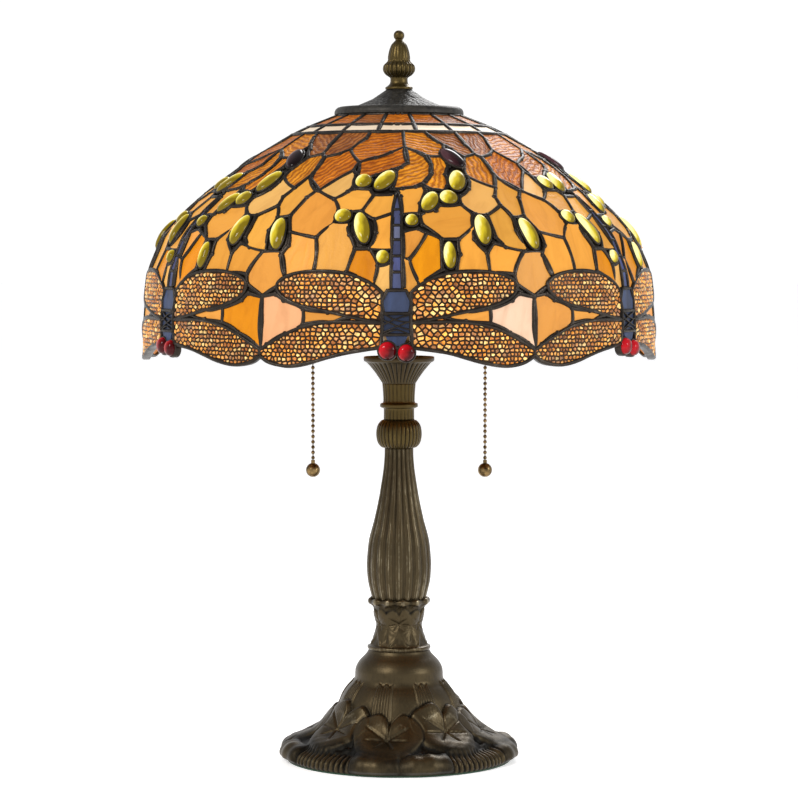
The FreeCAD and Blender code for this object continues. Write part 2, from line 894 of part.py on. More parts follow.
def jewel(width, height, depth, azimuth, row, along, lean=0.0):
    """A cabochon on the outer face of a row, its flat back to the glass."""
    solid = bind(
        doc.addObject("Part::Ellipsoid", "Jewel"),
        Radius1=as_size(depth),
        Radius2=as_size(width / 2),
        Radius3=as_size(height / 2),
    )
    solid.Angle1 = 0
    centre = row_point(row, as_size(along), dim("came_proud") + dim("came_seam"))
    radius, height_up = (size.value for size in centre)
    _, (out, down), _ = row_frame(row)
    turn = math.radians(FRONT + azimuth)
    outward = Vector(math.cos(turn), math.sin(turn), 0)
    normal = outward * -down.value + Vector(0, 0, out.value)
    uphill = outward * -out.value - Vector(0, 0, down.value)
    across = uphill.cross(normal)
    frame = FreeCAD.Matrix(
        across.x, uphill.x, normal.x, 0, across.y, uphill.y, normal.y, 0,
        across.z, uphill.z, normal.z, 0, 0, 0, 0, 1,
    )
    place = Placement(outward * radius + Vector(0, 0, height_up), Placement(frame).Rotation)
    solid.Placement = place.multiply(Placement(Vector(), Rotation(Vector(0, 0, 1), lean)))
    return solid


# Each jewel of one sector: width, height, depth, azimuth, row, distance down the row, lean.
OVAL_JEWELS = [
    (10.0, 7.5, 2.6, -11.0, AMBER_HIGH, 3.5, 0.0),
    (9.5, 15.0, 3.2, -4.8, AMBER_HIGH, 4.5, -32.0),
    (10.0, 13.5, 3.2, 18.2, AMBER_HIGH, 4.0, 0.0),
    (9.5, 12.0, 3.0, 8.6, AMBER_HIGH, 17.0, -20.0),
    (10.5, 8.0, 2.6, 13.6, AMBER_HIGH, 14.0, 0.0),
    (8.5, 8.0, 2.6, 3.4, AMBER_MID, 9.0, 0.0),
    (10.5, 8.5, 2.6, -12.8, AMBER_MID, 7.5, 0.0),
    (10.5, 18.5, 3.4, -8.4, AMBER_MID, 17.5, 4.0),
    (10.0, 18.0, 3.4, 20.2, AMBER_MID, 19.0, 5.0),
    (10.0, 18.0, 3.4, 31.2, AMBER_LOW, 3.0, 12.0),
    (8.5, 8.5, 2.6, -3.9, AMBER_LOW, 14.0, 0.0),
    (8.5, 16.5, 3.2, 11.4, AMBER_LOW, 15.0, 2.0),
]
DARK_JEWELS = [(9.0, 17.0, 3.4, 20.5, BROWN_LOW, 21.0, 26.0)]
EYE_JEWELS = [
    (15.0, 15.0, 5.0, -2.75, WING_LOW, 25.0, 0.0),
    (14.5, 14.5, 5.0, 2.75, WING_LOW, 26.5, 0.0),
]


def make_jewels():
    for label, jewels in (
        ("oval_jewels", OVAL_JEWELS),
        ("dark_jewels", DARK_JEWELS),
        ("eye_jewels", EYE_JEWELS),
    ):
        group = doc.addObject("Part::Compound", "Jewels")
        group.Links = [
            jewel(width, height, depth, azimuth + sector * PITCH, row, along, lean)
            for width, height, depth, azimuth, row, along, lean in jewels
            for sector in range(SECTORS)
        ]
        keep(label, group)


# ---------------------------------------------------------------- riser, cap and finial


def make_top():
    """The riser that carries the shade, the shade's seat, its metal cap and the finial."""
    riser = dim("riser_radius")
    turned("riser_tube", ring_section(dim("pipe_bore_radius"), riser, dim("riser_bottom"), dim("riser_top")))

    top = dim("cap_top")
    skin = dim("cap_skin")
    seat = top - skin - 0.05
    washer_bottom = seat - dim("washer_thickness")
    bore = riser + 0.5
    turned("seat_washer", ring_section(bore, dim("cap_top_radius") - 1.6, washer_bottom, seat))
    hex_nut("seat_nut", washer_bottom.value - dim("nut_height").value, riser + 0.05)

    rim = dim("cap_radius")
    rim_bottom = dim("cap_rim_bottom")
    shoulder = rim_bottom + 6.0
    turned(
        "shade_cap",
        [
            (bore, top - skin),
            (dim("cap_top_radius") - skin, top - skin),
            (rim * 0.40, top - 9.4),
            (rim * 0.66, shoulder - skin * 0.8),
            (rim - 5.5, shoulder - skin * 1.4),
            (rim - skin, rim_bottom + 1.5),
            (rim - skin, rim_bottom),
            (rim, rim_bottom),
            (rim, rim_bottom + 1.6, Size("5.0", 5.0)),
            (rim - 4.8, shoulder),
            (rim * 0.66, shoulder + 0.9),
            (rim * 0.41, top - 7.7),
            (dim("cap_top_radius"), top),
            (bore, top),
        ],
    )
    turned("crown_collar", ring_section(rim - 6.0, rim - 4.4, rim_bottom - 7.5, rim_bottom + 3.0))

    height = dim("finial_height")
    widest = dim("finial_radius")
    ball = dim("finial_ball_radius")
    turned(
        "finial",
        [
            (riser + 0.05, top + 0.05),
            (widest * 0.87, top + 0.05),
            (widest * 0.87, top + height * 0.05, Size("-7", -7)),
            (widest * 0.56, top + height * 0.135),
            (widest * 0.56, top + height * 0.19, Size("7.2", 7.2)),
            (widest, top + height * 0.345, Size("7.2", 7.2)),
            (widest * 0.70, top + height * 0.47),
            (widest * 0.70, top + height * 0.5, Size("38", 38)),
            (ball * 0.6, top + height - ball * 1.8, ball),
            (0.0, top + height),
            (0.0, top + height * 0.16),
            (riser + 0.05, top + height * 0.16),
        ],
    )


def check_document():
    """Stops if any object failed or any sub-part's shape isn't sound."""
    doc.recompute()
    for thing in doc.Objects:
        if {"Invalid", "Error"} & set(thing.State):
            raise RuntimeError(f"{thing.Name} ({thing.Label}) failed: {thing.State}")
    for label, thing in parts.items():
        shape = thing.Shape
        if shape.isNull() or not shape.isValid() or not shape.Solids:
            raise RuntimeError(f"{label} has no sound shape")


def export_parts():
    os.makedirs("parts", exist_ok=True)
    for old in os.listdir("parts"):
        os.remove(os.path.join("parts", old))
    for label, thing in parts.items():
        thing.Shape.exportStep(f"parts/{label}.step")
        box = thing.Shape.BoundBox
        print(
            f"{label:24s} {len(thing.Shape.Solids):3d} solids {thing.Shape.Volume / 1000:8.2f} cm3"
            f"  z {box.ZMin:7.2f} to {box.ZMax:7.2f}"
        )


make_foot()
make_column()
make_hub()
for side_name, side_sign in (("left", -1), ("right", 1)):
    make_holder(side_name, side_sign)
    make_pull_chain(side_name, side_sign)
make_top()
make_glass()
make_filigree()
make_cames()
make_jewels()
check_document()
export_parts()
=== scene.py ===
"""A stained glass table lamp: a leaded dragonfly shade on a bronze column with leaves on its foot.

Lengths on the shade's pattern are in degrees round the axis and millimetres down the slope from
its top edge, because a glazier lays it out that way. Everything else is in metres. The pattern
covers one sector of sixty degrees, with a dragonfly in its middle, and repeats six times.
"""
import math

import bpy
import numpy as np
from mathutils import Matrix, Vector


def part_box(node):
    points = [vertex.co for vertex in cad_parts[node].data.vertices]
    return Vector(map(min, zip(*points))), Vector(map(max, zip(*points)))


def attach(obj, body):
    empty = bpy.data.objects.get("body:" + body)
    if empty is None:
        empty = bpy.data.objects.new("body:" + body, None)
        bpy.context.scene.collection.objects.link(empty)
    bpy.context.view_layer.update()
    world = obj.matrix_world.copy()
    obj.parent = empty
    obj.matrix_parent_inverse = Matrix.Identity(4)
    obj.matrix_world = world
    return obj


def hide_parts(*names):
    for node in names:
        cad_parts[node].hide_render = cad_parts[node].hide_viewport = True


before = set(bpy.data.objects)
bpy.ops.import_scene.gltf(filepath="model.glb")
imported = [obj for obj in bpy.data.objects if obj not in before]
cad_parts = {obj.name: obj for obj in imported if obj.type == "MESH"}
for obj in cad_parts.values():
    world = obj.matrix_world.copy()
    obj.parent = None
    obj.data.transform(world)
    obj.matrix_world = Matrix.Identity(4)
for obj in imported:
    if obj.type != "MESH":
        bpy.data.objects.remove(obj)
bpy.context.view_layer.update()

MM = 0.001
SECTORS = 6
PITCH = 360 / SECTORS
TURNS = [sector * PITCH for sector in range(SECTORS)]
IMAGE_SIDE = 798
random = np.random.default_rng(11)


# ---------------------------------------------------------------- mesh building


class Build:
    """Collects faces of one piece: points, faces, and each face's UVs, tint and smoothness."""

    def __init__(self):
        self.points, self.faces, self.uvs, self.tints, self.smooth = [], [], [], [], []

    def add(self, points, faces, tint=(1.0, 1.0, 1.0), uv=None, smooth=True):
        start = len(self.points)
        points = [tuple(p) for p in points]
        self.points.extend(points)
        flat = uv if uv is not None else [(0.0, 0.0)] * len(points)
        for face in faces:
            self.faces.append(tuple(start + i for i in face))
            self.uvs.extend(tuple(flat[i]) for i in face)
            self.tints.append(tint)
            self.smooth.append(smooth)

    def piece(self, name, body, material, *replaced, slot=None):
        """The finished object, riding on its body and standing for the replaced CAD nodes."""
        mesh = bpy.data.meshes.new(name)
        mesh.from_pydata(self.points, [], self.faces)
        mesh.polygons.foreach_set("use_smooth", self.smooth)
        layer = mesh.uv_layers.new(name="UVMap")
        layer.data.foreach_set("uv", np.array(self.uvs, np.float32).ravel())
        tint = mesh.attributes.new("tint", "FLOAT_COLOR", "CORNER")
        sizes = [len(face) for face in self.faces]
        colours = np.repeat(np.array([(*t, 1.0) for t in self.tints], np.float32), sizes, axis=0)
        tint.data.foreach_set("color", colours.ravel())
        mesh.materials.append(material)
        mesh.update()
        made = bpy.data.objects.new(name, mesh)
        bpy.context.scene.collection.objects.link(made)
        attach(made, body)
        if replaced:
            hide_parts(*replaced)


def catmull_rom(points, per_span):
    """A smooth curve through the points."""
    points = np.asarray(points, float)
    padded = np.vstack([2 * points[0] - points[1], points, 2 * points[-1] - points[-2]])
    curve = []
    for i in range(1, len(padded) - 2):
        a, b, c, d = padded[i - 1 : i + 3]
        for t in np.arange(per_span) / per_span:
            curve.append(
                0.5 * (2 * b + (c - a) * t + (2 * a - 5 * b + 4 * c - d) * t**2
                       + (3 * b - a - 3 * c + d) * t**3)
            )
    return np.array([*curve, points[-1]])


def lathe_faces(rings, around, capped=False):
    """Quads between rings of points, each ring `around` points long, and, when capped, a face on either end.
    """
    faces = []
    for i in range(rings - 1):
        for j in range(around):
            k = (j + 1) % around
            faces.append((i * around + j, i * around + k, (i + 1) * around + k, (i + 1) * around + j))
    if capped:
        last = (rings - 1) * around
        faces += [tuple(range(last, last + around)), tuple(reversed(range(around)))]
    return faces


def domed_faces(rings, around, flipped=False):
    """Quads between rings of points and triangles from the last ring to a point at its middle."""
    tip = rings * around
    faces = lathe_faces(rings, around)
    faces += [(tip - around + j, tip - around + (j + 1) % around, tip) for j in range(around)]
    return [tuple(reversed(face)) for face in faces] if flipped else faces


def circle(steps):
    """Evenly spaced angles all the way round, in radians."""
    return np.arange(steps) * 2 * math.pi / steps


# ---------------------------------------------------------------- the shade's surface


def node_radii_heights(name):
    """Radius and height of each vertex of a CAD node, in metres."""
    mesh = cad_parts[name].data
    flat = np.empty(len(mesh.vertices) * 3)
    mesh.vertices.foreach_get("co", flat)
    xyz = flat.reshape(-1, 3)
    world = np.array(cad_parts[name].matrix_world)
    xyz = xyz @ world[:3, :3].T + world[:3, 3]
    return np.column_stack([np.hypot(xyz[:, 0], xyz[:, 1]), xyz[:, 2]])


class Dome:
    """The outer face of the shade's glass, as a curve of radius and height."""

    GLASS = ("crown_glass", "cream_band_glass", "brown_field_glass", "amber_field_glass", "wing_glass")

    def __init__(self):
        corners = np.vstack([node_radii_heights(node) for node in self.GLASS])
        corners = np.unique(np.round(corners, 5), axis=0)
        outline = self.outer_hull(corners)
        step = 0.5 * MM
        run = np.r_[0, np.cumsum(np.hypot(*np.diff(outline, axis=0).T))]
        along = np.arange(0, run[-1], step)
        line = np.column_stack([np.interp(along, run, outline[:, k]) for k in (0, 1)])
        reach = 24
        padded = np.vstack([2 * line[0] - line[reach:0:-1], line, 2 * line[-1] - line[-2 : -reach - 2 : -1]])
        window = np.hanning(2 * reach + 1)
        window /= window.sum()
        line = np.column_stack([np.convolve(padded[:, k], window, "valid") for k in (0, 1)])
        line = self.stretched(line)
        self.curve = line
        self.run = np.r_[0, np.cumsum(np.hypot(*np.diff(line, axis=0).T))] / MM
        slope = np.gradient(line, axis=0)
        self.normals = np.column_stack([-slope[:, 1], slope[:, 0]])
        self.normals /= np.linalg.norm(self.normals, axis=1)[:, None]

    @staticmethod
    def outer_hull(corners):
        """The corners on the outside of the section, from the top edge down to the rim."""
        hull = []
        for point in corners[np.lexsort((-corners[:, 1], corners[:, 0]))]:
            while len(hull) > 1:
                (ax, ay), (bx, by) = hull[-2], hull[-1]
                if (bx - ax) * (point[1] - ay) - (by - ay) * (point[0] - ax) < 0:
                    break
                hull.pop()
            hull.append(point)
        hull = np.array(hull)
        hull = hull[np.argmax(hull[:, 1]):]
        widest = corners[corners[:, 0] > corners[:, 0].max() - 1.2 * MM]
        low = widest[np.argmin(widest[:, 1])]
        return np.vstack([hull[hull[:, 1] > low[1]], low])

    @staticmethod
    def stretched(line):
        """The curve run on to the crown ring at one end and the rim ring at the other."""
        rings = node_radii_heights("came_rings")
        top = line[0] + (line[0] - line[1]) * ((rings[:, 1].max() - line[0, 1]) / (line[0] - line[1])[1])
        rim = np.array([line[-1, 0], rings[:, 1].min()])
        return np.vstack([top, line, rim])

    def at(self, degrees, down, proud=0.0):
        """Points at an angle from the front, a distance down the slope and a height off the glass."""
        degrees, down, proud = np.broadcast_arrays(*(np.asarray(v, float) for v in (degrees, down, proud)))
        radius, height, out, up = (
            np.interp(down, self.run, column)
            for column in (*self.curve.T, *self.normals.T)
        )
        over = np.maximum(down - self.run[-1], 0) * MM
        radius = radius + out * proud * MM
        height = height + up * proud * MM - over
        turn = np.radians(degrees)
        return np.stack([radius * np.sin(turn), -radius * np.cos(turn), height], axis=-1)

    def per_degree(self, down):
        """Millimetres round the shade for one degree, at a distance down the slope."""
        return np.interp(down, self.run, self.curve[:, 0]) / MM * math.radians(1)


dome = Dome()

# ---------------------------------------------------------------- the shade's pattern

MIDDLE = -0.5
CROWN_ROW = 2.0
CREAM_ROW = 26.5
BROWN_ROW = 40.6
CROWN_TILES = 18
CROWN_JOINT = 9.0
GLASS = 3.0

# Each tile is a word for its glass, the lean of its grain, and its corners.
BROWN_TILES = [
    ("dusky", 62, [(-30, 41), (-15, 41), (-15.4, 52), (-19.4, 69.5), (-23, 75), (-28.3, 79.5), (-30.2, 75)]),
    ("rust", 12, [(-15, 41), (2.1, 41), (2.3, 66), (-3, 73.5), (-8.5, 81), (-13.7, 87.5), (-19.4, 69.5),
                  (-15.4, 52)]),
    ("rust", 24, [(2.3, 66), (2.9, 88), (0.6, 94), (-2.2, 97), (-7, 104), (-9, 107), (-13, 104),
                  (-13.7, 87.5), (-8.5, 81), (-3, 73.5)]),
    ("glow", 30, [(2.6, 67), (6.5, 72), (9.6, 79), (10.9, 90), (10.3, 101), (7.8, 113), (4.6, 119),
                  (1, 121), (-2, 121.5), (-1.0, 98), (2.9, 88)]),
    ("glow", -18, [(2.1, 41), (13.2, 41), (14.6, 48), (19, 63), (17.5, 73), (15.4, 79), (10.6, 79),
                   (6.5, 72), (2.3, 66)]),
    ("dusky", -40, [(13.2, 41), (30, 41), (29.3, 62), (29.8, 75), (24.4, 79.5), (21.4, 68), (17.6, 58),
                    (14.6, 48)]),
    ("glow", 75, [(10.6, 79), (15.4, 79), (16.8, 92), (14.6, 103), (14, 118), (12.6, 124), (9, 122),
                  (6.9, 116), (10, 103), (10.9, 90)]),
    ("rust", 50, [(-28.3, 79.5), (-23, 75), (-19.4, 69.5), (-13.7, 87.5), (-14.8, 98), (-22.8, 123.5),
                  (-27.8, 109), (-28.5, 100)]),
    ("glow", 80, [(24.4, 79.5), (29.8, 75), (31.5, 80), (31.5, 101), (28.6, 119.5), (21.4, 105),
                  (21.9, 95)]),
]
AMBER_TILES = [
    ("amber", 80, [(31.5, 102), (32.2, 109), (36.2, 123.5), (34.4, 131), (32.3, 151), (28.9, 152.5),
                   (27, 140), (26.8, 130), (28.6, 119.5)]),
    ("pale", 60, [(-14.8, 98), (-13.3, 105), (-13.1, 119), (-14.3, 124.5), (-17.4, 133), (-22.8, 123.5)]),
    ("amber", 10, [(-14.3, 124.5), (-12.4, 121), (-8, 122), (-6.8, 128.5), (-9.2, 146.5), (-12, 147.5),
                   (-15.2, 146), (-17.4, 133)]),
    ("honey", 85, [(-23.8, 123.5), (-22.8, 123.5), (-17.4, 133), (-15.2, 146), (-15.5, 160), (-19, 172.5),
                   (-25.8, 167.5), (-27.7, 151), (-25.6, 131)]),
    ("amber", 70, [(-6.8, 128.5), (-1.1, 128.5), (-1.4, 148.5), (-6, 155), (-9.2, 146.5)]),
    ("amber", 85, [(-6, 155), (-1.4, 148.5), (-1.5, 182), (-6.5, 181.5), (-5.3, 168)]),
    ("amber", 85, [(-19, 172.5), (-15.5, 160), (-12, 160.5), (-11.2, 170), (-9.7, 181.5), (-11.2, 200),
                   (-18.6, 202)]),
    ("amber", 80, [(-25.8, 167.5), (-19, 172.5), (-18.6, 202), (-24.9, 204), (-26.8, 187), (-25.4, 179)]),
    ("honey", 85, [(28.3, 184.5), (33.2, 184.5), (35.1, 204), (34.4, 209), (29.8, 218), (25.7, 209),
                   (25.3, 202)]),
    ("amber", 85, [(-0.8, 122), (4.6, 119), (6.9, 117), (7.4, 124), (5.5, 138), (4.8, 149.5),
                   (0.7, 150.5), (0.4, 130)]),
    ("honey", 70, [(0.8, 167.5), (4.4, 165), (6.3, 168.5), (2.2, 190), (0.8, 190)]),
    ("deep", 80, [(6.3, 168.5), (9.6, 174), (9.3, 198), (4.4, 208.5), (2.2, 190)]),
    ("honey", 80, [(0.8, 190), (2.2, 190), (4.4, 208.5), (2.6, 217), (0.9, 217)]),
    ("amber", 15, [(5.2, 150), (9.2, 146), (10.3, 140), (16.2, 139.5), (18.4, 150), (17.4, 163.5),
                   (13.4, 174), (9.6, 174), (5.5, 160.5)]),
    ("pale", 60, [(21.4, 105), (28.6, 119.5), (26.8, 130), (27, 140), (22.1, 150.5), (19.2, 150),
                  (16.2, 139.5), (16.5, 130), (20, 121), (21.2, 112)]),
    ("amber", 80, [(22.1, 150.5), (27, 140), (28.9, 152.5), (28.3, 166), (29, 183), (24.4, 180),
                   (22.3, 172)]),
    ("amber", 80, [(13.4, 174), (17.4, 163.5), (17.2, 174), (19.7, 185), (19.7, 201), (12.3, 200),
                   (13.4, 186)]),
    ("amber", 70, [(19.7, 185), (21.6, 177), (24.4, 180), (29, 183), (25.3, 202), (19.7, 201)]),
    ("deep", 80, [(-9.7, 181.5), (-6.4, 181.5), (-4.5, 195), (-5.6, 210), (-11.2, 200)]),
    ("pale", 85, [(-4.5, 195), (-1.7, 193), (-1.7, 214), (-3.2, 217), (-5.6, 210)]),
]
GAP_TILES = [
    ("honey", 10, [(-20.4, 227.5), (-15, 229.5), (-10.5, 233.5), (-14, 237.5), (-20.4, 239)]),
    ("honey", 10, [(19.3, 227), (19.3, 238), (14, 236.5), (9.5, 233), (14, 229)]),
    ("blush", 80, [(-30.2, 218), (-27, 216.5), (-25, 221), (-20.4, 227.5), (-20.4, 239), (-24.5, 246),
                   (-28.8, 254), (-30.2, 257)]),
    ("rose", 80, [(19.3, 227), (24.5, 221), (26.2, 216), (29.8, 219), (29.8, 257), (28, 253),
                  (23.8, 245.5), (19.3, 238)]),
]

LEFT_GAPS = ["blush", "honey", "rose", "honey", "blush", "amber"]
RIGHT_GAPS = ["rose", "amber", "honey", "blush", "honey", "deep"]

# Each jewel: angle, distance down, width, height along the slope, lean clockwise.
JEWELS = [
    (-10.4, 113, 12.2, 15, 0),
    (-4.1, 112, 12.6, 25, 24),
    (17.4, 112, 12.4, 25, 16),
    (8.0, 137, 11.5, 22, 24),
    (13.2, 132.5, 13.4, 14.5, 0),
    (3.0, 157, 9.4, 10.5, 0),
    (-13.6, 152.5, 12.4, 12.5, 0),
    (-8.6, 163.5, 11.0, 29, -14),
    (19.6, 165, 12.0, 27, 3),
    (31.2, 168.5, 11.6, 28, -9),
    (-3.5, 188.5, 9.4, 10.5, 0),
    (11.0, 187, 9.2, 21, 0),
]
# Gaps between tiles that solder fills, given as the jewels are.
SOLDER_FILLS = [
    (3.0, 158, 12, 18, 0), (26.3, 215.3, 5, 3, 0), (-27.1, 215, 1, 1, 0), (-13.9, 98, 1, 3, 0),
    (6.7, 167, 1, 1, 0), (24.6, 204, 1, 1, 0), (22.8, 176, 1, 1, 0), (19.5, 65, 1, 1, 0),
    (7.9, 120.7, 1, 1, 0), (9.0, 200.5, 1, 1, 0), (-1.2, 123.3, 1, 1, 0),
]
DARK_JEWELS = [(19.2, 82.5, 13.0, 26, -22)]
EYES = [(MIDDLE - 1.9, 257.6, 12.8, 12.8, 0), (MIDDLE + 2.0, 259.2, 12.2, 12.2, 0)]

# Half of each wing's outline, in degrees from the dragonfly's middle.
UPPER_WING = [(3.0, 215), (5.3, 208.5), (8.5, 203.2), (12, 200.4), (16, 199.3), (20, 199.9),
              (23.8, 203), (26.0, 208), (26.0, 213.5), (24.5, 219), (21.5, 223.8), (18, 227),
              (14, 229.6), (10, 232.8), (6, 235.6), (3.0, 237)]
LOWER_WING_TOP = [(3.0, 237.5), (8, 236.6), (12, 236.6), (16, 237.8), (20, 240.6), (24, 246.2),
                  (27.5, 252.8), (30.1, 258)]
LOWER_WING_RIM = [(30.1, 262.5), (28.2, 266.4), (25.5, 269), (22.5, 269.6), (18.5, 267), (14.5, 263),
                  (10.5, 259.4), (6.5, 257), (3.2, 255.6)]

TAIL_JOINTS = [127.5, 145.5, 161.5, 174.5, 187.5, 200, 213]
TAIL_WIDTH_TOP = 3.2
TAIL_WIDTH_END = 6.6
BODY_TOP = [(-2.0, 213.5), (2.0, 213.5), (3.1, 222), (2.7, 230.5), (-2.7, 230.5), (-3.1, 222)]
BODY_WAIST = [(-2.9, 230.5), (2.9, 230.5), (3.0, 246), (-3.0, 246)]
BODY_HEAD = [(-2.4, 246), (2.4, 246), (1.4, 254), (-1.4, 254)]


def around_middle(points):
    """Points given from the dragonfly's middle, as places in the sector."""
    return [(MIDDLE + degrees, down) for degrees, down in points]


# ---------------------------------------------------------------- materials


def material(name, roughness=0.5, metallic=0.0, **sockets):
    """A Principled material with its constants set on the shader's own sockets."""
    made = bpy.data.materials.new(name)
    made.use_nodes = True
    shader = made.node_tree.nodes["Principled BSDF"]
    shader.inputs["Roughness"].default_value = roughness
    shader.inputs["Metallic"].default_value = metallic
    for socket, value in sockets.items():
        shader.inputs[socket.replace("_", " ")].default_value = value
    return made, made.node_tree, shader


def node(tree, kind, inputs=None, **settings):
    """A shader node with its settings, and with a link or a value for each input."""
    made = tree.nodes.new(kind)
    for name, value in settings.items():
        setattr(made, name, value)
    for name, value in (inputs or {}).items():
        if isinstance(value, bpy.types.NodeSocket):
            tree.links.new(value, made.inputs[name])
        else:
            made.inputs[name].default_value = value
    return made


def colour(red, green, blue):
    """A linear RGBA colour from display values out of 255."""
    linear = [(v / 255 / 12.92) if v / 255 <= 0.04045 else ((v / 255 + 0.055) / 1.055) ** 2.4
              for v in (red, green, blue)]
    return (*linear, 1.0)


def ramp(tree, factor, *stops):
    """A colour for each value of the factor, from stops of place and colour."""
    made = node(tree, "ShaderNodeValToRGB", {"Fac": factor})
    elements = made.color_ramp.elements
    while len(elements) < len(stops):
        elements.new(0.5)
    for element, (place, shade) in zip(elements, stops):
        element.position = place
        element.color = shade
    return made.outputs["Color"]


def mixed(tree, factor, first, second, blend="MIX"):
    """Two colours mixed; 0, 6 and 7 are the node's sockets for the factor and the colours."""
    made = node(tree, "ShaderNodeMix", {0: factor, 6: first, 7: second}, data_type="RGBA", blend_type=blend)
    return made.outputs[2]


def times(tree, first, second):
    """Two colours multiplied."""
    return mixed(tree, 1.0, first, second, "MULTIPLY")


def scaled(tree, value, gain, offset=0.0):
    """A number times a gain, with an offset added."""
    return node(tree, "ShaderNodeMath", {0: value, 1: gain, 2: offset}, operation="MULTIPLY_ADD").outputs[0]


def noise(tree, vector, scale, detail, **more):
    inputs = {"Vector": vector, "Scale": scale, "Detail": detail, **more}
    return node(tree, "ShaderNodeTexNoise", inputs).outputs["Fac"]


def coordinates(tree, space="Object"):
    return node(tree, "ShaderNodeTexCoord").outputs[space]


def painted(tree, name, output="Color"):
    """A value stored on the mesh."""
    return node(tree, "ShaderNodeAttribute", attribute_name=name).outputs[output]


def grey(level):
    """A linear RGBA grey."""
    return (level, level, level, 1.0)


def bump(tree, height, strength, distance, under=None):
    inputs = {"Height": height, "Strength": strength, "Distance": distance}
    if under is not None:
        inputs["Normal"] = under
    return node(tree, "ShaderNodeBump", inputs).outputs["Normal"]


def feed(tree, shader, **sockets):
    """Links outputs to the shader's sockets; an underscore stands for a space in a socket's name."""
    for socket, output in sockets.items():
        tree.links.new(output, shader.inputs[socket.replace("_", " ")])


def lit_through(tree, shader, shade, glow, held=0.5):
    """Colours glass that is lit from behind: part of its colour is its own glow."""
    feed(tree, shader, Base_Color=times(tree, shade, grey(held)), Emission_Color=shade)
    shader.inputs["Emission Strength"].default_value = glow


def opal_glass(name, streak, glow):
    """Opalescent sheet glass lit from behind: wispy streaks along each tile's own grain."""
    made, tree, shader = material(name, roughness=0.36, Specular_IOR_Level=0.12)
    grain = coordinates(tree, "UV")
    stretched = node(tree, "ShaderNodeMapping", {"Vector": grain, "Scale": (0.35, 1.1, 1.0)})
    wisps = noise(tree, stretched.outputs["Vector"], 1.0, 5.0, Roughness=0.55, Distortion=0.6)
    shades = ramp(tree, wisps, (0.30, (1 - streak, 1 - streak * 1.3, 1 - streak * 1.6, 1)),
                  (0.55, grey(1.0)), (0.78, (1.0, 1 + streak * 0.25, 1 + streak * 0.6, 1)))
    lit_through(tree, shader, times(tree, painted(tree, "tint"), shades), glow)
    waves = bump(tree, wisps, 0.25, 0.002)
    feed(tree, shader, Normal=bump(tree, noise(tree, grain, 4.0, 4.0), 0.12, 0.0006, waves))
    return made


def ripple_glass(name, glow):
    """Rippled glass: close ridges across the grain, with painted shade in their hollows and a painted
    highlight on their crests.
    """
    made, tree, shader = material(name, roughness=0.42, Specular_IOR_Level=0.14)
    grain = coordinates(tree, "UV")
    swirl = noise(tree, grain, 0.9, 2.0)
    ridges = node(tree, "ShaderNodeTexWave", {"Vector": grain, "Scale": 0.72, "Distortion": 7.5,
                                              "Detail": 3.0, "Detail Scale": 1.4, "Detail Roughness": 0.6},
                  wave_type="BANDS", bands_direction="Y", wave_profile="SIN").outputs["Fac"]
    ripple_light_and_shade = ramp(tree, ridges, (0.0, (0.62, 0.5, 0.4, 1)), (0.4, (0.9, 0.86, 0.82, 1)),
                   (0.8, (1.14, 1.16, 1.15, 1)), (1.0, (1.3, 1.4, 1.45, 1)))
    patches = ramp(tree, swirl, (0.3, (0.72, 0.62, 0.55, 1)), (0.7, grey(1.2)))
    lit_through(tree, shader, times(tree, times(tree, painted(tree, "tint"), ripple_light_and_shade), patches), glow)
    feed(tree, shader, Normal=bump(tree, ridges, 0.55, 0.0014))
    return made


def solder(name, deep=(30, 25, 20), middle=(52, 45, 38), bare=(100, 94, 87)):
    """Leading with a black patina: uneven, and bare grey tin where it has been rubbed."""
    made, tree, shader = material(name, roughness=0.42, metallic=0.75)
    place = coordinates(tree)
    blotch = noise(tree, place, 60.0, 6.0, Roughness=0.65)
    rough = bump(tree, noise(tree, place, 240.0, 3.0), 0.4, 0.0008)
    feed(tree, shader,
         Base_Color=ramp(tree, blotch, (0.35, colour(*deep)), (0.62, colour(*middle)), (0.8, colour(*bare))),
         Roughness=ramp(tree, blotch, (0.3, grey(0.5)), (0.75, grey(0.3))),
         Normal=bump(tree, blotch, 0.35, 0.0014, rough))
    return made


def cabochon_glass(name, deep, middle, painted_highlight, glow):
    """A glass jewel, shaded from a deep side to a bright one as painted shade and a painted highlight, with a
    veil through it.
    """
    made, tree, shader = material(name, roughness=0.08, Specular_IOR_Level=0.18)
    uv = coordinates(tree, "UV")
    split = node(tree, "ShaderNodeSeparateXYZ", {"Vector": uv}).outputs
    # Painted highlight and shade: the jewel lighter towards one side and darker towards the other.
    highlight_slant = scaled(tree, split["Y"], 0.32, scaled(tree, split["X"], -0.62))
    level = scaled(tree, noise(tree, uv, 1.6, 3.0), 0.55, highlight_slant)
    shade = ramp(tree, level, (0.0, deep), (0.4, middle), (0.74, painted_highlight), (0.95, painted_highlight))
    lit_through(tree, shader, shade, glow, held=0.35)
    return made


def grain_glass(name):
    """Small chips of amber glass, streaked and a little cloudy."""
    made, tree, shader = material(name, roughness=0.2, Specular_IOR_Level=0.4)
    shade = ramp(tree, noise(tree, coordinates(tree), 420.0, 4.0), (0.32, (0.5, 0.42, 0.34, 1)),
                 (0.5, (1.0, 0.96, 0.9, 1)), (0.7, (1.4, 1.5, 1.6, 1)))
    lit_through(tree, shader, times(tree, painted(tree, "tint"), shade), 0.7)
    return made


GLASS_SHADES = {
    "amber": (236, 165, 66),
    "honey": (232, 157, 66),
    "pale": (242, 182, 98),
    "deep": (226, 142, 16),
    "blush": (236, 172, 122),
    "rose": (246, 206, 174),
    "rust": (196, 112, 22),
    "glow": (216, 134, 28),
    "dusky": (160, 98, 46),
    "cream": (250, 226, 196),
}
TINT_SPREAD = 0.06


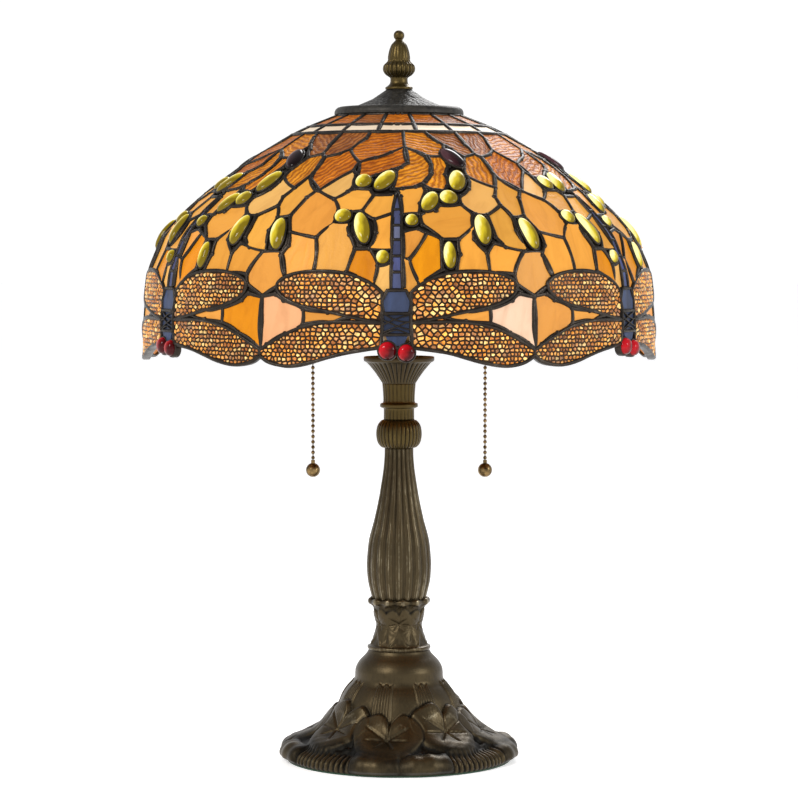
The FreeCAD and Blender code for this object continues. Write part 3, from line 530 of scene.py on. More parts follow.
def tint_of(word):
    """A tile's own shade of its glass."""
    red, green, blue, _ = colour(*GLASS_SHADES[word])
    light = 1 + random.uniform(-TINT_SPREAD, TINT_SPREAD) * 1.6
    warm = 1 + random.uniform(-TINT_SPREAD, TINT_SPREAD)
    return (red * light, green * light * warm, blue * light * warm**2)


# ---------------------------------------------------------------- glass panes


def bowed(first, second, steps=5):
    """Points along a hand-cut edge, the same curve from either end; the last corner is left out."""
    first, second = np.array(first, float), np.array(second, float)
    flat = (second - first) * (dome.per_degree((first[1] + second[1]) / 2), 1.0)
    middle = (key(first), key(second))
    mark = sum(a * 0.731 + b * 0.377 for a, b in middle)
    way = 1.0 if middle[0] <= middle[1] else -1.0
    length = math.hypot(*flat)
    sag = way * 0.055 * math.sin(mark * 3.7) * min(length, 30.0)
    side = np.array([-flat[1], flat[0]]) / max(length, 1e-6)
    points = []
    for t in np.arange(steps) / steps:
        off = 4 * t * (1 - t) * sag
        lift = side * off / (dome.per_degree(first[1] + (second[1] - first[1]) * t), 1.0)
        points.append(first + (second - first) * t + lift)
    return points


def hand_cut(corners):
    """A tile's outline with every edge bowed."""
    return [point for pair in zip(corners, corners[1:] + corners[:1]) for point in bowed(*pair)]


def pane(build, corners, lean, tint, turn=0.0, proud=0.0):
    """One flat piece of glass: its outline laid on the dome and flattened on its own plane."""
    corners = np.array(corners, float)
    degrees, down = corners[:, 0] + turn, corners[:, 1]
    outer = dome.at(degrees, down, proud)
    centre = outer.mean(axis=0)
    normal = dome.at(degrees.mean(), down.mean(), 1.0) - dome.at(degrees.mean(), down.mean(), 0.0)
    normal /= np.linalg.norm(normal)
    outer = outer - np.outer((outer - centre) @ normal, normal)
    inner = outer - normal * GLASS * MM
    count = len(corners)
    across = (corners[:, 0] - corners[:, 0].mean()) * dome.per_degree(down.mean())
    up = -(down - down.mean())
    angle = math.radians(lean)
    shift = random.uniform(-50, 50, 2)
    u = (across * math.cos(angle) + up * math.sin(angle)) / 10 + shift[0]
    v = (-across * math.sin(angle) + up * math.cos(angle)) / 10 + shift[1]
    uv = np.column_stack([u, v])
    ring = list(range(count))
    faces = [ring, [count + i for i in reversed(ring)]]
    area = 0.5 * sum(
        corners[i, 0] * corners[(i + 1) % count, 1] - corners[(i + 1) % count, 0] * corners[i, 1]
        for i in ring
    )
    if area > 0:
        faces = [list(reversed(face)) for face in faces]
    walls = [(i, (i + 1) % count, count + (i + 1) % count, count + i) for i in ring]
    build.add(np.vstack([outer, inner]), faces + walls, tint, np.vstack([uv, uv]), smooth=False)


def field_panes(tiles, name, replaced, sheet):
    """The same hand-cut tiles in every sector."""
    build = Build()
    for turn in TURNS:
        for word, lean, corners in tiles:
            pane(build, hand_cut(corners), lean, tint_of(word), turn)
    build.piece(name, "shade", sheet, *replaced)


def gap_panes():
    """The tiles between wings, whose glass differs from one sector to the next."""
    build = Build()
    for turn, left, right in zip(TURNS, LEFT_GAPS, RIGHT_GAPS):
        for word, (_, lean, corners) in zip(["honey", "honey", left, right], GAP_TILES):
            pane(build, hand_cut(corners), lean, tint_of(word), turn)
    build.piece("gap_panes", "shade", AMBER_SHEET, "wing_gap_glass", slot="pink_glass")


def ring_panes(name, replaced, sheet, top, bottom, words):
    """A row of equal tiles round the crown."""
    build = Build()
    tile = 360 / CROWN_TILES
    for k in range(CROWN_TILES):
        left, right = CROWN_JOINT + k * tile, CROWN_JOINT + (k + 1) * tile
        steps = np.linspace(left, right, 5)
        corners = [(a, top) for a in steps] + [(a, bottom) for a in reversed(steps)]
        pane(build, corners, 8, tint_of(words[k % len(words)]))
    build.piece(name, "shade", sheet, *replaced)


# ---------------------------------------------------------------- leading

# Half the width of a line of solder, and how far it stands off the glass.
FIELD_LEAD = (1.5, 1.15)
CROWN_LEAD = (1.7, 1.15)
CREAM_LEAD = (1.9, 1.15)
WING_LEAD = (1.35, 1.4)
TAIL_LEAD = (1.3, 1.4)
TAIL_JOINT_LEAD = (1.2, 1.3)
BODY_LEAD = (1.3, 1.5)
RING_LEADS = [(CROWN_ROW, 1.8, 1.2), (CREAM_ROW, 1.9, 1.2), (BROWN_ROW, 1.9, 1.3)]
BODY_WIRE = (0.6, 0.9)
RIM_WIRE = (1.5, 1.5)
BEZEL = (0.95, 1.6)
BLOB_RADIUS = 2.3
BLOB_RISE = 1.3
LEAD_STEP = 1.6

BEAD_SECTION = [(-1.0, -0.3), (-0.92, 0.35), (-0.6, 0.85), (0.0, 1.05), (0.6, 0.85), (0.92, 0.35),
                (1.0, -0.3)]


def bead(build, path, half_width, proud, closed=False, base=0.0, depth=GLASS):
    """A line of solder along a path on the dome, showing on both faces of the glass.

    It stands proud of a base height off the glass, and its back is at a depth behind that.
    """
    path = np.asarray(path, float)
    scale = dome.per_degree(path[:, 1])
    flat = np.column_stack([path[:, 0] * scale.mean(), path[:, 1]])
    if closed:
        ahead = np.roll(flat, -1, axis=0) - np.roll(flat, 1, axis=0)
    else:
        ahead = np.gradient(flat, axis=0)
    ahead /= np.maximum(np.linalg.norm(ahead, axis=1), 1e-9)[:, None]
    side = np.column_stack([-ahead[:, 1], ahead[:, 0]])
    swell = 1 + 0.10 * np.sin(np.cumsum(random.uniform(0.2, 0.9, len(path))))
    outer = [(a * half_width, base + h * proud) for a, h in BEAD_SECTION]
    inner = [(a * half_width, base - depth - h * proud * 0.7) for a, h in reversed(BEAD_SECTION)]
    section = outer + inner
    rings = []
    for across, height in section:
        offset = side * (across * swell)[:, None]
        rings.append(dome.at(path[:, 0] + offset[:, 0] / scale, path[:, 1] + offset[:, 1], height))
    points = np.stack(rings, axis=1).reshape(-1, 3)
    count, around = len(path), len(section)
    faces = []
    for i in range(count if closed else count - 1):
        for j in range(around):
            a, b = i * around + j, i * around + (j + 1) % around
            c, d = (((i + 1) % count) * around + (j + 1) % around, ((i + 1) % count) * around + j)
            faces.append((a, d, c, b))
    if not closed:
        faces.append(tuple(range(around)))
        faces.append(tuple(reversed(range((count - 1) * around, count * around))))
    build.add(points, faces)


def knob(build, degrees, down, radius, proud):
    """A blob of solder where lines meet."""
    around = 10
    scale = dome.per_degree(down)
    turn = circle(around)
    points = []
    levels = [(1.0, -0.2), (0.8, 0.65), (0.42, 0.98)]
    stack = [(w, h * proud) for w, h in levels] + [(0.0, proud * 1.05)]
    for width, height in stack[:-1]:
        points.append(dome.at(degrees + np.cos(turn) * radius * width / scale,
                              down + np.sin(turn) * radius * width, height))
    points = np.vstack([*points, dome.at([degrees], [down], stack[-1][1])])
    build.add(points, domed_faces(len(levels), around, flipped=True))


def inside(point, outline):
    """Whether a point is inside a closed outline."""
    x, y = point
    crossings = 0
    for (ax, ay), (bx, by) in zip(outline, np.roll(outline, -1, axis=0)):
        if (ay > y) != (by > y) and x < (bx - ax) * (y - ay) / (by - ay) + ax:
            crossings += 1
    return crossings % 2 == 1


def oval(degrees, down, width, height, lean, grow=0.0, steps=28):
    """The outline of a jewel on the pattern."""
    turn = circle(steps)
    x = np.cos(turn) * (width / 2 + grow)
    y = np.sin(turn) * (height / 2 + grow)
    angle = math.radians(lean)
    across = x * math.cos(angle) - y * math.sin(angle)
    along = x * math.sin(angle) + y * math.cos(angle)
    return np.column_stack([degrees + across / dome.per_degree(down), down + along])


def tail_width(down):
    """The tail's width in millimetres, which grows towards the body."""
    part = (down - TAIL_JOINTS[0]) / (TAIL_JOINTS[-1] - TAIL_JOINTS[0])
    return TAIL_WIDTH_TOP + (TAIL_WIDTH_END - TAIL_WIDTH_TOP) * min(max(part, 0.0), 1.0) ** 0.6


def tail_outline(grow):
    """The outline of the dragonfly's tail, grown on both sides."""
    left, right = [], []
    for down in TAIL_JOINTS:
        half = (tail_width(down) / 2 + grow) / dome.per_degree(down)
        left.append((MIDDLE - half, down))
        right.append((MIDDLE + half, down))
    return np.array(left + right[::-1])


UPPER_OUTLINE = catmull_rom(UPPER_WING, 4)
LOWER_OUTLINE = np.vstack([catmull_rom(LOWER_WING_TOP, 4), catmull_rom(LOWER_WING_RIM, 4)])


def wing_outlines():
    """The four wings of the sector's dragonfly."""
    wings = []
    for half in (UPPER_OUTLINE, LOWER_OUTLINE):
        for side in (1, -1):
            wings.append(np.column_stack([MIDDLE + side * half[:, 0], half[:, 1]]))
    return wings


WINGS = wing_outlines()


def covers():
    """Outlines that hide the lines of the field beneath them, in a sector and its neighbours."""
    shapes = [*WINGS, tail_outline(0.6)]
    shapes += [oval(*jewel, grow=0.4) for jewel in JEWELS + DARK_JEWELS]
    shapes += [np.array(around_middle(BODY_TOP)), np.array(around_middle(BODY_WAIST))]
    return [shape + (turn, 0) for shape in shapes for turn in (-PITCH, 0, PITCH)]


SECTOR_COVERS = covers()


def key(point):
    """A corner's place in the sector, so that two tiles' shared side is led once."""
    degrees, down = point
    return (round((degrees + PITCH / 2) % PITCH, 1), round(down, 1))


def field_lines():
    """The sides of the field's tiles, each once, as pairs of corners."""
    seen = {}
    for *_, corners in BROWN_TILES + AMBER_TILES + GAP_TILES:
        for first, second in zip(corners, corners[1:] + corners[:1]):
            name = tuple(sorted((key(first), key(second))))
            seen.setdefault(name, (first, second))
    return list(seen.values())


def led_runs():
    """Sampled runs of the field's lines that no wing, jewel or body covers."""
    boxes = [(shape.min(axis=0), shape.max(axis=0)) for shape in SECTOR_COVERS]
    runs = []
    for first, second in field_lines():
        length = math.hypot((second[0] - first[0]) * dome.per_degree(first[1]), second[1] - first[1])
        count = max(int(length / LEAD_STEP), 2)
        run = []
        line = [*bowed(first, second, count), np.array(second, float)]
        for t, point in zip(np.linspace(0, 1, count + 1), line):
            hidden = any(
                (low <= point).all() and (point <= high).all() and inside(point, shape)
                for shape, (low, high) in zip(SECTOR_COVERS, boxes)
            )
            if not hidden:
                run.append(point)
            if hidden or t == 1:
                if len(run) > 1:
                    runs.append(np.array(run))
                run = []
    return runs


def rim_line():
    """The scalloped rim through one sector, from one notch between wings to the next."""
    half = catmull_rom([(30.0, 261.5), *LOWER_WING_RIM[1:]], 4)
    right = np.column_stack([MIDDLE + half[:, 0], half[:, 1]])
    left = np.column_stack([MIDDLE - half[:, 0], half[:, 1]])
    return np.vstack([left, right[::-1]])


def leading():
    """All the solder lines of the shade."""
    lines = Build()
    runs = led_runs()
    ends = {key(point) for pair in field_lines() for point in pair}
    for angle in TURNS:
        turn = (angle, 0)
        for run in runs:
            bead(lines, run + turn, *FIELD_LEAD)
        for degrees, down in ends:
            place = degrees - PITCH / 2
            if not any(inside((place, down), shape) for shape in SECTOR_COVERS):
                knob(lines, place + angle, down, BLOB_RADIUS, BLOB_RISE)
        tail_leading(lines, turn)
        for wing in WINGS:
            bead(lines, wing + turn, *WING_LEAD, closed=True, base=0.4, depth=GLASS + 0.8)
        for outline in (BODY_TOP, BODY_WAIST):
            shape = np.array(around_middle(outline))
            shape = np.vstack([shape, shape[:1]])
            dense = np.vstack([np.linspace(a, b, 8, endpoint=False) for a, b in zip(shape, shape[1:])])
            bead(lines, dense + turn, *BODY_LEAD, closed=True, base=0.6)
    steps = np.linspace(0, 360, 180, endpoint=False)
    for down, width, proud in RING_LEADS:
        bead(lines, np.column_stack([steps, np.full_like(steps, down)]), width, proud, closed=True)
    for k in range(CROWN_TILES):
        angle = CROWN_JOINT + k * 360 / CROWN_TILES
        for top, bottom, lead in ((CROWN_ROW, CREAM_ROW, CROWN_LEAD), (CREAM_ROW, BROWN_ROW, CREAM_LEAD)):
            path = np.column_stack([np.full(8, angle), np.linspace(top, bottom, 8)])
            bead(lines, path, *lead)
    lines.piece("leading", "shade", SOLDER, "came_rings", "came_ribs")


def tail_leading(lines, turn):
    """The leading down both sides of the dragonfly's tail and between its segments."""
    joints = np.array(TAIL_JOINTS)
    for side in (-1, 1):
        halves = np.array([tail_width(d) / 2 + 0.9 for d in joints]) / dome.per_degree(joints)
        halves[0] *= 0.35
        path = catmull_rom(np.column_stack([MIDDLE + side * halves, joints]), 5)
        bead(lines, path + turn, *TAIL_LEAD, base=0.2)
    for down in joints:
        half = (tail_width(down) / 2 + 0.6) / dome.per_degree(down)
        path = np.column_stack([np.linspace(MIDDLE - half, MIDDLE + half, 5), np.full(5, down)])
        bead(lines, path + turn, *TAIL_JOINT_LEAD, base=0.2)


BODY_WIRES = [
    [(-2.8, 230.5), (0.0, 235.5), (2.9, 237.0)],
    [(2.8, 231.5), (0.2, 234.0), (-2.9, 239.0)],
    [(-2.9, 235.0), (0.4, 240.0), (2.9, 242.5)],
    [(2.9, 236.0), (-0.6, 241.0), (-2.9, 244.5)],
    [(-2.9, 246.0), (0.0, 242.5), (2.9, 246.0)],
]


def body_wires():
    """Fine wires that cross over each dragonfly's waist."""
    build = Build()
    for turn in TURNS:
        for wire in BODY_WIRES:
            path = catmull_rom(around_middle(wire), 6) + (turn, 0)
            bead(build, path, *BODY_WIRE, base=0.9, depth=0.6)
    build.piece("body_wires", "shade", SOLDER)


def rim_wire():
    """The wire soldered round the rim's scallops."""
    build = Build()
    path = np.vstack([rim_line() + (turn, 0) for turn in TURNS])
    bead(build, path, *RIM_WIRE, closed=True, base=0.5, depth=GLASS + 1.0)
    build.piece("rim_wire", "shade", SOLDER)


# ---------------------------------------------------------------- dragonflies

TAIL_BLUES = [(92, 98, 138), (84, 90, 130), (122, 126, 156), (76, 82, 118), (92, 98, 146), (96, 106, 150)]
# Each piece of the body: its outline, its colour and how far it stands off the field's glass.
BODY_PANES = [(BODY_TOP, (74, 86, 118), 0.9), (BODY_WAIST, (54, 64, 90), 0.7),
              (BODY_HEAD, (64, 78, 112), 1.0)]
WING_TINT = (222, 138, 46)
GRAIN_SHADES = [(246, 172, 72), (222, 140, 42), (252, 208, 126), (186, 108, 28), (240, 162, 62),
                (166, 100, 34)]
# Painted shade: how bright the chips are in each sector, from the front one round; the side sectors are
# darker as if less lit.
GRAIN_SECTOR_SHADE = (1.0, 0.78, 0.86, 0.9, 0.86, 0.78)
GRAIN_HAZE = np.array([0.46, 0.36, 0.24])
# The filigree, in flat millimetres: half of a bar, the border along the edge, and how many
# openings can touch one.
HALF_BAR = 0.66
WING_BORDER = 1.3
NEIGHBOURS = 13
# How far a jewel's rim stands off the glass, and how far solder spreads under and round it.
JEWEL_SEAT = 0.9
BED_SPREAD = 4.6
TAIL_BED_SPREAD = 3.0
BED = (-0.9, 1.3)


def dragonfly_glass():
    """The segments of the tails, and the bodies, in blue-grey glass."""
    build = Build()
    tails = Build()
    for turn in TURNS:
        for k, (top, bottom) in enumerate(zip(TAIL_JOINTS, TAIL_JOINTS[1:])):
            high = tail_width(top) / 2 / dome.per_degree(top)
            low = tail_width(bottom) / 2 / dome.per_degree(bottom)
            if k == 0:
                high *= 0.3
            corners = [(MIDDLE - high, top), (MIDDLE + high, top),
                       (MIDDLE + low, bottom), (MIDDLE - low, bottom)]
            pane(tails, corners, 90, colour(*TAIL_BLUES[k])[:3], turn, proud=0.5)
        for outline, shade, proud in BODY_PANES:
            pane(build, around_middle(outline), 90, colour(*shade)[:3], turn, proud=proud)
    tails.piece("tail_segments", "shade", BLUE_GLASS, "dragonfly_tail_glass")
    build.piece("dragonfly_bodies", "shade", BLUE_GLASS, "dragonfly_body_glass")


def wing_slabs():
    """The dark pierced overlay over each wing, and the amber glass behind it."""
    overlay, glass = Build(), Build()
    for turn in TURNS:
        for wing in WINGS:
            outline_slab(overlay, wing, turn, 0.6, 1.6)
            outline_slab(glass, wing, turn, -0.8, GLASS - 0.2, colour(*WING_TINT)[:3])
    glass.piece("wing_backs", "shade", AMBER_SHEET, "wing_glass")
    overlay.piece("wing_overlays", "shade", FILIGREE, "wing_filigree")


def outline_slab(build, outline, turn, proud, thickness, tint=(1.0, 1.0, 1.0)):
    """The two faces of a slab with this outline that follows the dome, as rings round its middle."""
    count = len(outline)
    centre = outline.mean(axis=0)
    levels = np.linspace(1.0, 0.0, 6)[:-1]
    for height, flip in ((proud, False), (proud - thickness, True)):
        rings = [centre + (outline - centre) * level for level in levels]
        flat = np.vstack([*rings, centre[None]])
        points = dome.at(flat[:, 0] + turn, flat[:, 1], height)
        build.add(points, domed_faces(len(levels), count, flip), tint)


def clip(polygon, normal, offset):
    """The part of a convex polygon where point . normal <= offset."""
    kept = []
    for a, b in zip(polygon, polygon[1:] + polygon[:1]):
        da = a[0] * normal[0] + a[1] * normal[1] - offset
        db = b[0] * normal[0] + b[1] * normal[1] - offset
        if da <= 0:
            kept.append(a)
        if (da < 0 < db) or (db < 0 < da):
            t = da / (da - db)
            kept.append((a[0] + (b[0] - a[0]) * t, a[1] + (b[1] - a[1]) * t))
    return kept


def wing_seeds(outline, scale):
    """Places for the openings of a wing's filigree, in rows, wider apart towards the body."""
    low, high = outline.min(axis=0), outline.max(axis=0)
    seeds = []
    row = 0
    y = low[1]
    while y < high[1]:
        x = low[0] + (row % 2) * 1.7
        while x < high[0]:
            seeds.append(np.array([x, y]) + random.uniform(-0.62, 0.62, 2) * (1.1, 0.8))
            near = 1 - min(abs(x / scale - MIDDLE) / 26, 1)
            x += 3.2 + 3.2 * near**2 + 0.8 * math.sin(x * 0.21 + y * 0.5) + random.uniform(0, 0.7)
        y += 3.1 + 0.5 * math.sin(y * 0.7)
        row += 1
    return np.array(seeds)


def wing_cells(wing):
    """The openings of one wing's filigree, as small convex polygons in flat millimetres."""
    scale = dome.per_degree(wing[:, 1].mean())
    outline = np.column_stack([wing[:, 0] * scale, wing[:, 1]])
    edges = list(zip(outline, np.roll(outline, -1, axis=0)))
    seeds = wing_seeds(outline, scale)
    cells = []
    for seed in seeds:
        if not inside(seed, outline):
            continue
        cell = [tuple(seed + corner) for corner in ((-6, -6), (6, -6), (6, 6), (-6, 6))]
        for other in seeds[np.argsort(np.hypot(*(seeds - seed).T))[1 : NEIGHBOURS + 1]]:
            away = other - seed
            length = math.hypot(*away)
            away = away / length
            cell = clip(cell, away, seed @ away + length / 2 - HALF_BAR)
            if len(cell) < 3:
                break
        for first, second in edges:
            if len(cell) < 3:
                break
            side = second - first
            length = math.hypot(*side)
            if length < 1e-6:
                continue
            t = min(max(((seed - first) @ side) / length**2, 0), 1)
            nearest = first + side * t
            gap = seed - nearest
            distance = math.hypot(*gap)
            if distance < 5:
                out = -gap / max(distance, 1e-6)
                cell = clip(cell, out, nearest @ out - WING_BORDER)
        if len(cell) > 2:
            corners = np.array(cell)
            if np.ptp(corners[:, 0]) > 0.9 and np.ptp(corners[:, 1]) > 0.7:
                cells.append((corners, scale))
    return cells


def wing_grains():
    """Amber glass that bulges through the openings of each wing's overlay."""
    patterns = [cell for wing in WINGS for cell in wing_cells(wing)]
    for sector, turn in enumerate(TURNS):
        build = Build()
        for corners, scale in patterns:
            count = len(corners)
            centre = corners.mean(axis=0)
            haze = 0.5 + 0.5 * math.sin(centre[0] * 0.13 + 0.6) * math.sin(centre[1] * 0.31 + sector)
            shade = np.array(colour(*GRAIN_SHADES[random.integers(len(GRAIN_SHADES))])[:3])
            shade = shade * (1 - 0.4 * haze**3) + GRAIN_HAZE * 0.4 * haze**3
            # Painted shade on the side sectors' chips.
            shade = shade * random.uniform(0.8, 1.2) * GRAIN_SECTOR_SHADE[sector]
            rings = [(1.0, 0.45), (0.82, 1.0), (0.45, 1.25)]
            flat = np.vstack([centre + (corners - centre) * size for size, _ in rings] + [centre[None]])
            lift = np.r_[np.repeat([h for _, h in rings], count), 1.3]
            points = dome.at(flat[:, 0] / scale + turn, flat[:, 1], lift)
            build.add(points, domed_faces(len(rings), count), tuple(shade))
        build.piece(f"wing_grains_{sector + 1}", "shade", GRAIN_GLASS)


def cabochon(build, degrees, down, width, height, lean, turn, rise):
    """A domed jewel on the outer face and a flat one inside."""
    levels = [(1.0, 0.0), (0.97, 0.35), (0.86, 0.66), (0.66, 0.86), (0.36, 0.97)]
    around = 28
    points, uvs = [], []
    for size, lift in levels:
        ring = oval(degrees, down, width * size, height * size, lean, steps=around)
        points.append(dome.at(ring[:, 0] + turn, ring[:, 1], JEWEL_SEAT + lift * rise))
        angle = circle(around)
        uvs.append(np.column_stack([np.cos(angle) * size, -np.sin(angle) * size]))
    points = np.vstack([*points, dome.at([degrees + turn], [down], JEWEL_SEAT + rise)])
    uvs = np.vstack([*uvs, [(0.0, 0.0)]])
    build.add(points, domed_faces(len(levels), around, flipped=True), uv=uvs)
    back = oval(degrees, down, width, height, lean, steps=around)
    build.add(dome.at(back[:, 0] + turn, back[:, 1], -GLASS - 0.5), [tuple(range(around))],
              uv=np.zeros((around, 2)))


def solder_beds():
    """Solder that fills the lead between the tiles under and round each jewel."""
    build = Build()
    for turn in TURNS:
        for place in JEWELS + DARK_JEWELS + SOLDER_FILLS:
            outline_slab(build, oval(*place, grow=BED_SPREAD), turn, *BED)
        outline_slab(build, tail_outline(TAIL_BED_SPREAD), turn, *BED)
    build.piece("solder_beds", "shade", SOLDER)


def jewels():
    """The oval jewels, the dark ones and the eyes, each in a bezel of solder."""
    bezels = Build()
    for name, places, stuff, replaced, rise in (
        ("jewels_green", JEWELS, GREEN_JEWEL, "oval_jewels", 3.4),
        ("jewels_dark", DARK_JEWELS, DARK_JEWEL, "dark_jewels", 3.4),
        ("eyes", EYES, RED_JEWEL, "eye_jewels", 5.2),
    ):
        build = Build()
        for turn in TURNS:
            for place in places:
                cabochon(build, *place, turn, rise)
                bead(bezels, oval(*place, grow=0.4) + (turn, 0), *BEZEL, closed=True)
        build.piece(name, "shade", stuff, replaced)
    bezels.piece("bezels", "shade", SOLDER)


# ---------------------------------------------------------------- cast metal

# Silhouettes: radius and height above the piece's own foot, in millimetres.
COLUMN = [(21.7, 0), (23.3, 6), (25.1, 14), (25.9, 22.5), (25.9, 31), (24.3, 47), (20, 63.5),
          (16.5, 79.5), (15, 88), (12.6, 103.5), (11.6, 115), (11.5, 121.2)]
KNOP = [(11.5, 0), (14.6, 1.2), (17.3, 5), (18.3, 11.5), (17.3, 18), (14.6, 21.8), (12.2, 23)]
NECK = [(12.2, 0), (12.2, 8.4), (13.2, 9.2), (14.9, 10), (15.2, 11.4), (14.8, 12.8), (12.9, 13.7),
        (12.6, 17), (12.9, 23), (13.4, 29)]
CUP = [(13.4, 0), (15.0, 2.6), (19.0, 8.5), (24.0, 14.6), (26.4, 17.0), (27.8, 17.6), (28.3, 18.6),
       (28.3, 20.6), (27.8, 21.4), (26.6, 21.3), (25.4, 19.6), (20.5, 13.5), (14.5, 8.6), (10.0, 6.3),
       (0.0, 6.1)]
COLLAR = [(24.6, 0), (25.4, 1.4), (25.2, 3.0), (23.4, 4.0), (21.6, 6.4), (18.6, 12.0), (16.8, 18.0),
          (16.8, 22.5), (19.2, 30.5), (22.2, 36.6), (23.7, 38.2), (23.8, 40.0), (22.8, 40.8), (20.5, 40.6)]
FOOT = [(24.4, 88.5), (25.6, 86.0), (27.8, 83.4), (30.8, 80.4), (33.4, 76.8), (35.0, 73.0), (35.4, 69.5),
        (35.7, 65.5), (37.4, 62.2), (40.2, 59.2), (43.2, 55.4), (45.8, 51.0), (48.0, 45.5), (50.5, 39.8),
        (53.8, 34.6), (57.8, 30.0), (62.5, 25.6), (67.8, 21.6), (73.5, 18.2), (79.5, 15.0), (85.5, 12.4),
        (90.0, 9.8), (92.2, 6.8), (92.2, 3.8), (91.0, 2.0), (88.0, 1.5), (60.0, 1.5), (30.0, 1.5),
        (0.0, 1.5)]
FINIAL = [(10.9, 0), (10.9, 1.6), (9.6, 2.4), (7.4, 4.6), (6.9, 7.4), (7.4, 9.4), (10.2, 11.2),
          (12.3, 13.8), (12.9, 16.4), (12.2, 19.2), (9.8, 21.6), (8.9, 23.2), (9.0, 25.4), (8.2, 30),
          (6.4, 35), (4.2, 37.6), (3.0, 38.8), (2.9, 39.4), (4.0, 41.0), (4.3, 42.9), (3.8, 44.8),
          (2.2, 46.4), (0.0, 46.95)]


def wrapped(angle, centre, period):
    """Degrees from the nearest of the places that repeat every period."""
    return (angle - centre + period / 2) % period - period / 2


def sine(degrees):
    return np.sin(np.radians(degrees))


def ridge(distance, width):
    """1 where the distance is 0, falling off smoothly over the width."""
    return np.exp(-((distance / width) ** 2))


def rise(value, width):
    """A soft step from 0 to 1 as the value passes 0."""
    return 1 / (1 + np.exp(-np.clip(value / width * 4, -40, 40)))


def reeds(count, depth, start=-1e9, end=1e9, crest=0.62):
    """Upright reeds with narrow grooves between them, between two heights."""
    def relief(angle, height, radius):
        groove = 1 - np.abs(np.cos(np.radians(angle) * count / 2)) ** 0.55
        within = rise(height - start, 2.0) * rise(end - height, 2.0)
        # Grooves darker, partly patina and partly painted shade; crests lighter where the metal is rubbed.
        return -depth * groove * within, (crest - 0.75 * groove) * within + 0.45 * (1 - within)
    return relief


def lily_pad(angle, down, radius, centre_angle, period, centre_down, size, notch):
    """A lily pad draped on the casting: a round leaf with a notch, a rolled edge and creased veins."""
    across = np.radians(wrapped(angle, centre_angle, period)) * radius
    along = centre_down - down
    far = np.hypot(across, along)
    around = np.degrees(np.arctan2(across, along))
    edge = size * (1 - 0.42 * ridge(wrapped(around, notch, 360), 12.0)) + 0.6 * sine(around * 5)
    low = rise(-along - 0.3 * size, 0.3 * size)
    leaf = rise(edge - far, 1.1 + 5.0 * low)
    lift = leaf * (2.4 + 2.4 * ridge(far - 0.64 * edge, 0.40 * size))
    for vein, reach in ((-104, 0.62), (-58, 0.7), (52, 0.68), (98, 0.6), (150, 0.5), (-150, 0.5)):
        off = wrapped(around, vein + notch, 360)
        ahead = np.abs(off) < 80
        lift = lift - leaf * ahead * 1.7 * ridge(far * sine(off), 0.7) * rise(reach * edge - far, 3.0)
    off = wrapped(around, notch, 360)
    lift = lift - leaf * 2.0 * ridge(far * sine(off), 0.9) * (np.abs(off) < 80)
    lift = lift + leaf * 1.0 * ridge(far, 2.0)
    # Lighter on the rolled edge and the raised ring, as rubbed metal. The gap is the groove round the leaf,
    # which the callers also darken as a painted shadow; it fades along the leaf's lower side.
    shade = leaf * (0.34 + 0.34 * ridge(far - edge + 1.3, 1.1) + 0.34 * ridge(far - 0.6 * edge, 5.0))
    gap = ridge(far - edge - 0.9, 1.1) * (1 - 0.9 * low)
    return lift, shade, gap, leaf


def foot_relief(angle, down, radius, height):
    """Water lilies on the foot: pads, stems above them, and lobes and pleated buds at the rim."""
    quarter = 90.0
    lift = np.zeros_like(angle)
    wear_and_shade = np.full_like(angle, 0.42)
    stems = wrapped(angle, -17.0, 45.0)
    ribbon = rise(9.5 - np.abs(stems), 1.0) * rise(63.5 - height + 1.2 * sine(angle * 40), 1.0)
    ribbon = ribbon * rise(height - 30, 4.0)
    pleat = 1 - np.abs(np.cos(np.radians(stems) * 62)) ** 0.6
    lift += ribbon * (1.1 - 0.7 * pleat)
    wear_and_shade += ribbon * (0.12 - 0.3 * pleat)
    rims = rise(radius - 80.0, 2.0)
    for centre in (-13.0, 14.0):
        off = wrapped(angle, centre, quarter)
        lobe = rise(13.4 - np.abs(off), 0.9)
        crown = np.sqrt(np.clip(1 - (off / 14.0) ** 2, 0, 1))
        lift += rims * lobe * (5.6 * crown * ridge(radius - 89.0, 9.0) + 0.5 * sine(off * 40))
        wear_and_shade += rims * lobe * (0.36 * ridge(off, 9.0) * ridge(radius - 88.0, 7.0) - 0.04)
    off = wrapped(angle, 46.5, quarter)
    bud = rise(18.5 - np.abs(off), 1.0)
    folds = np.abs(np.sin(np.radians(off) * 58)) ** 0.8
    tuft = sine(angle * 31) * np.sin(radius * 0.9 + np.radians(angle) * 7)
    lift += rims * bud * (3.0 * folds * ridge(radius - 90.0, 12.0) - 2.6)
    lift += rise(radius - 66.0, 2.0) * (1 - rims) * bud * 1.3 * tuft
    wear_and_shade += rims * bud * (0.62 * folds - 0.34)
    # Painted shade in the hollow ring between the pads and the rim lobes.
    wear_and_shade -= 0.16 * rise(radius - 68.0, 4.0) * rise(84.0 - radius, 3.0)
    for centre, place, size, notch in ((37.0, 72.0, 28.0, 12.0), (-8.5, 79.0, 27.5, 4.0)):
        pad, shade, gap, leaf = lily_pad(angle, down, radius, centre, quarter, place, size, notch)
        # Painted shade: each pad darker on its lower half.
        shade = shade - 0.08 * rise(down - place - 3.0, 8.0)
        lift = lift * (1 - 0.85 * leaf) + pad - 0.7 * gap * (1 - leaf)
        # Painted shadow in the gap round each pad's edge.
        wear_and_shade = wear_and_shade * (1 - leaf) + (0.24 + 0.62 * shade) * leaf - 0.28 * gap
    upper = rise(height - 4.2, 2.6)
    # Darker towards the bottom of the foot.
    return lift * upper, np.clip(wear_and_shade - 0.24 * rise(24.0 - height, 12.0), 0.0, 1.0)


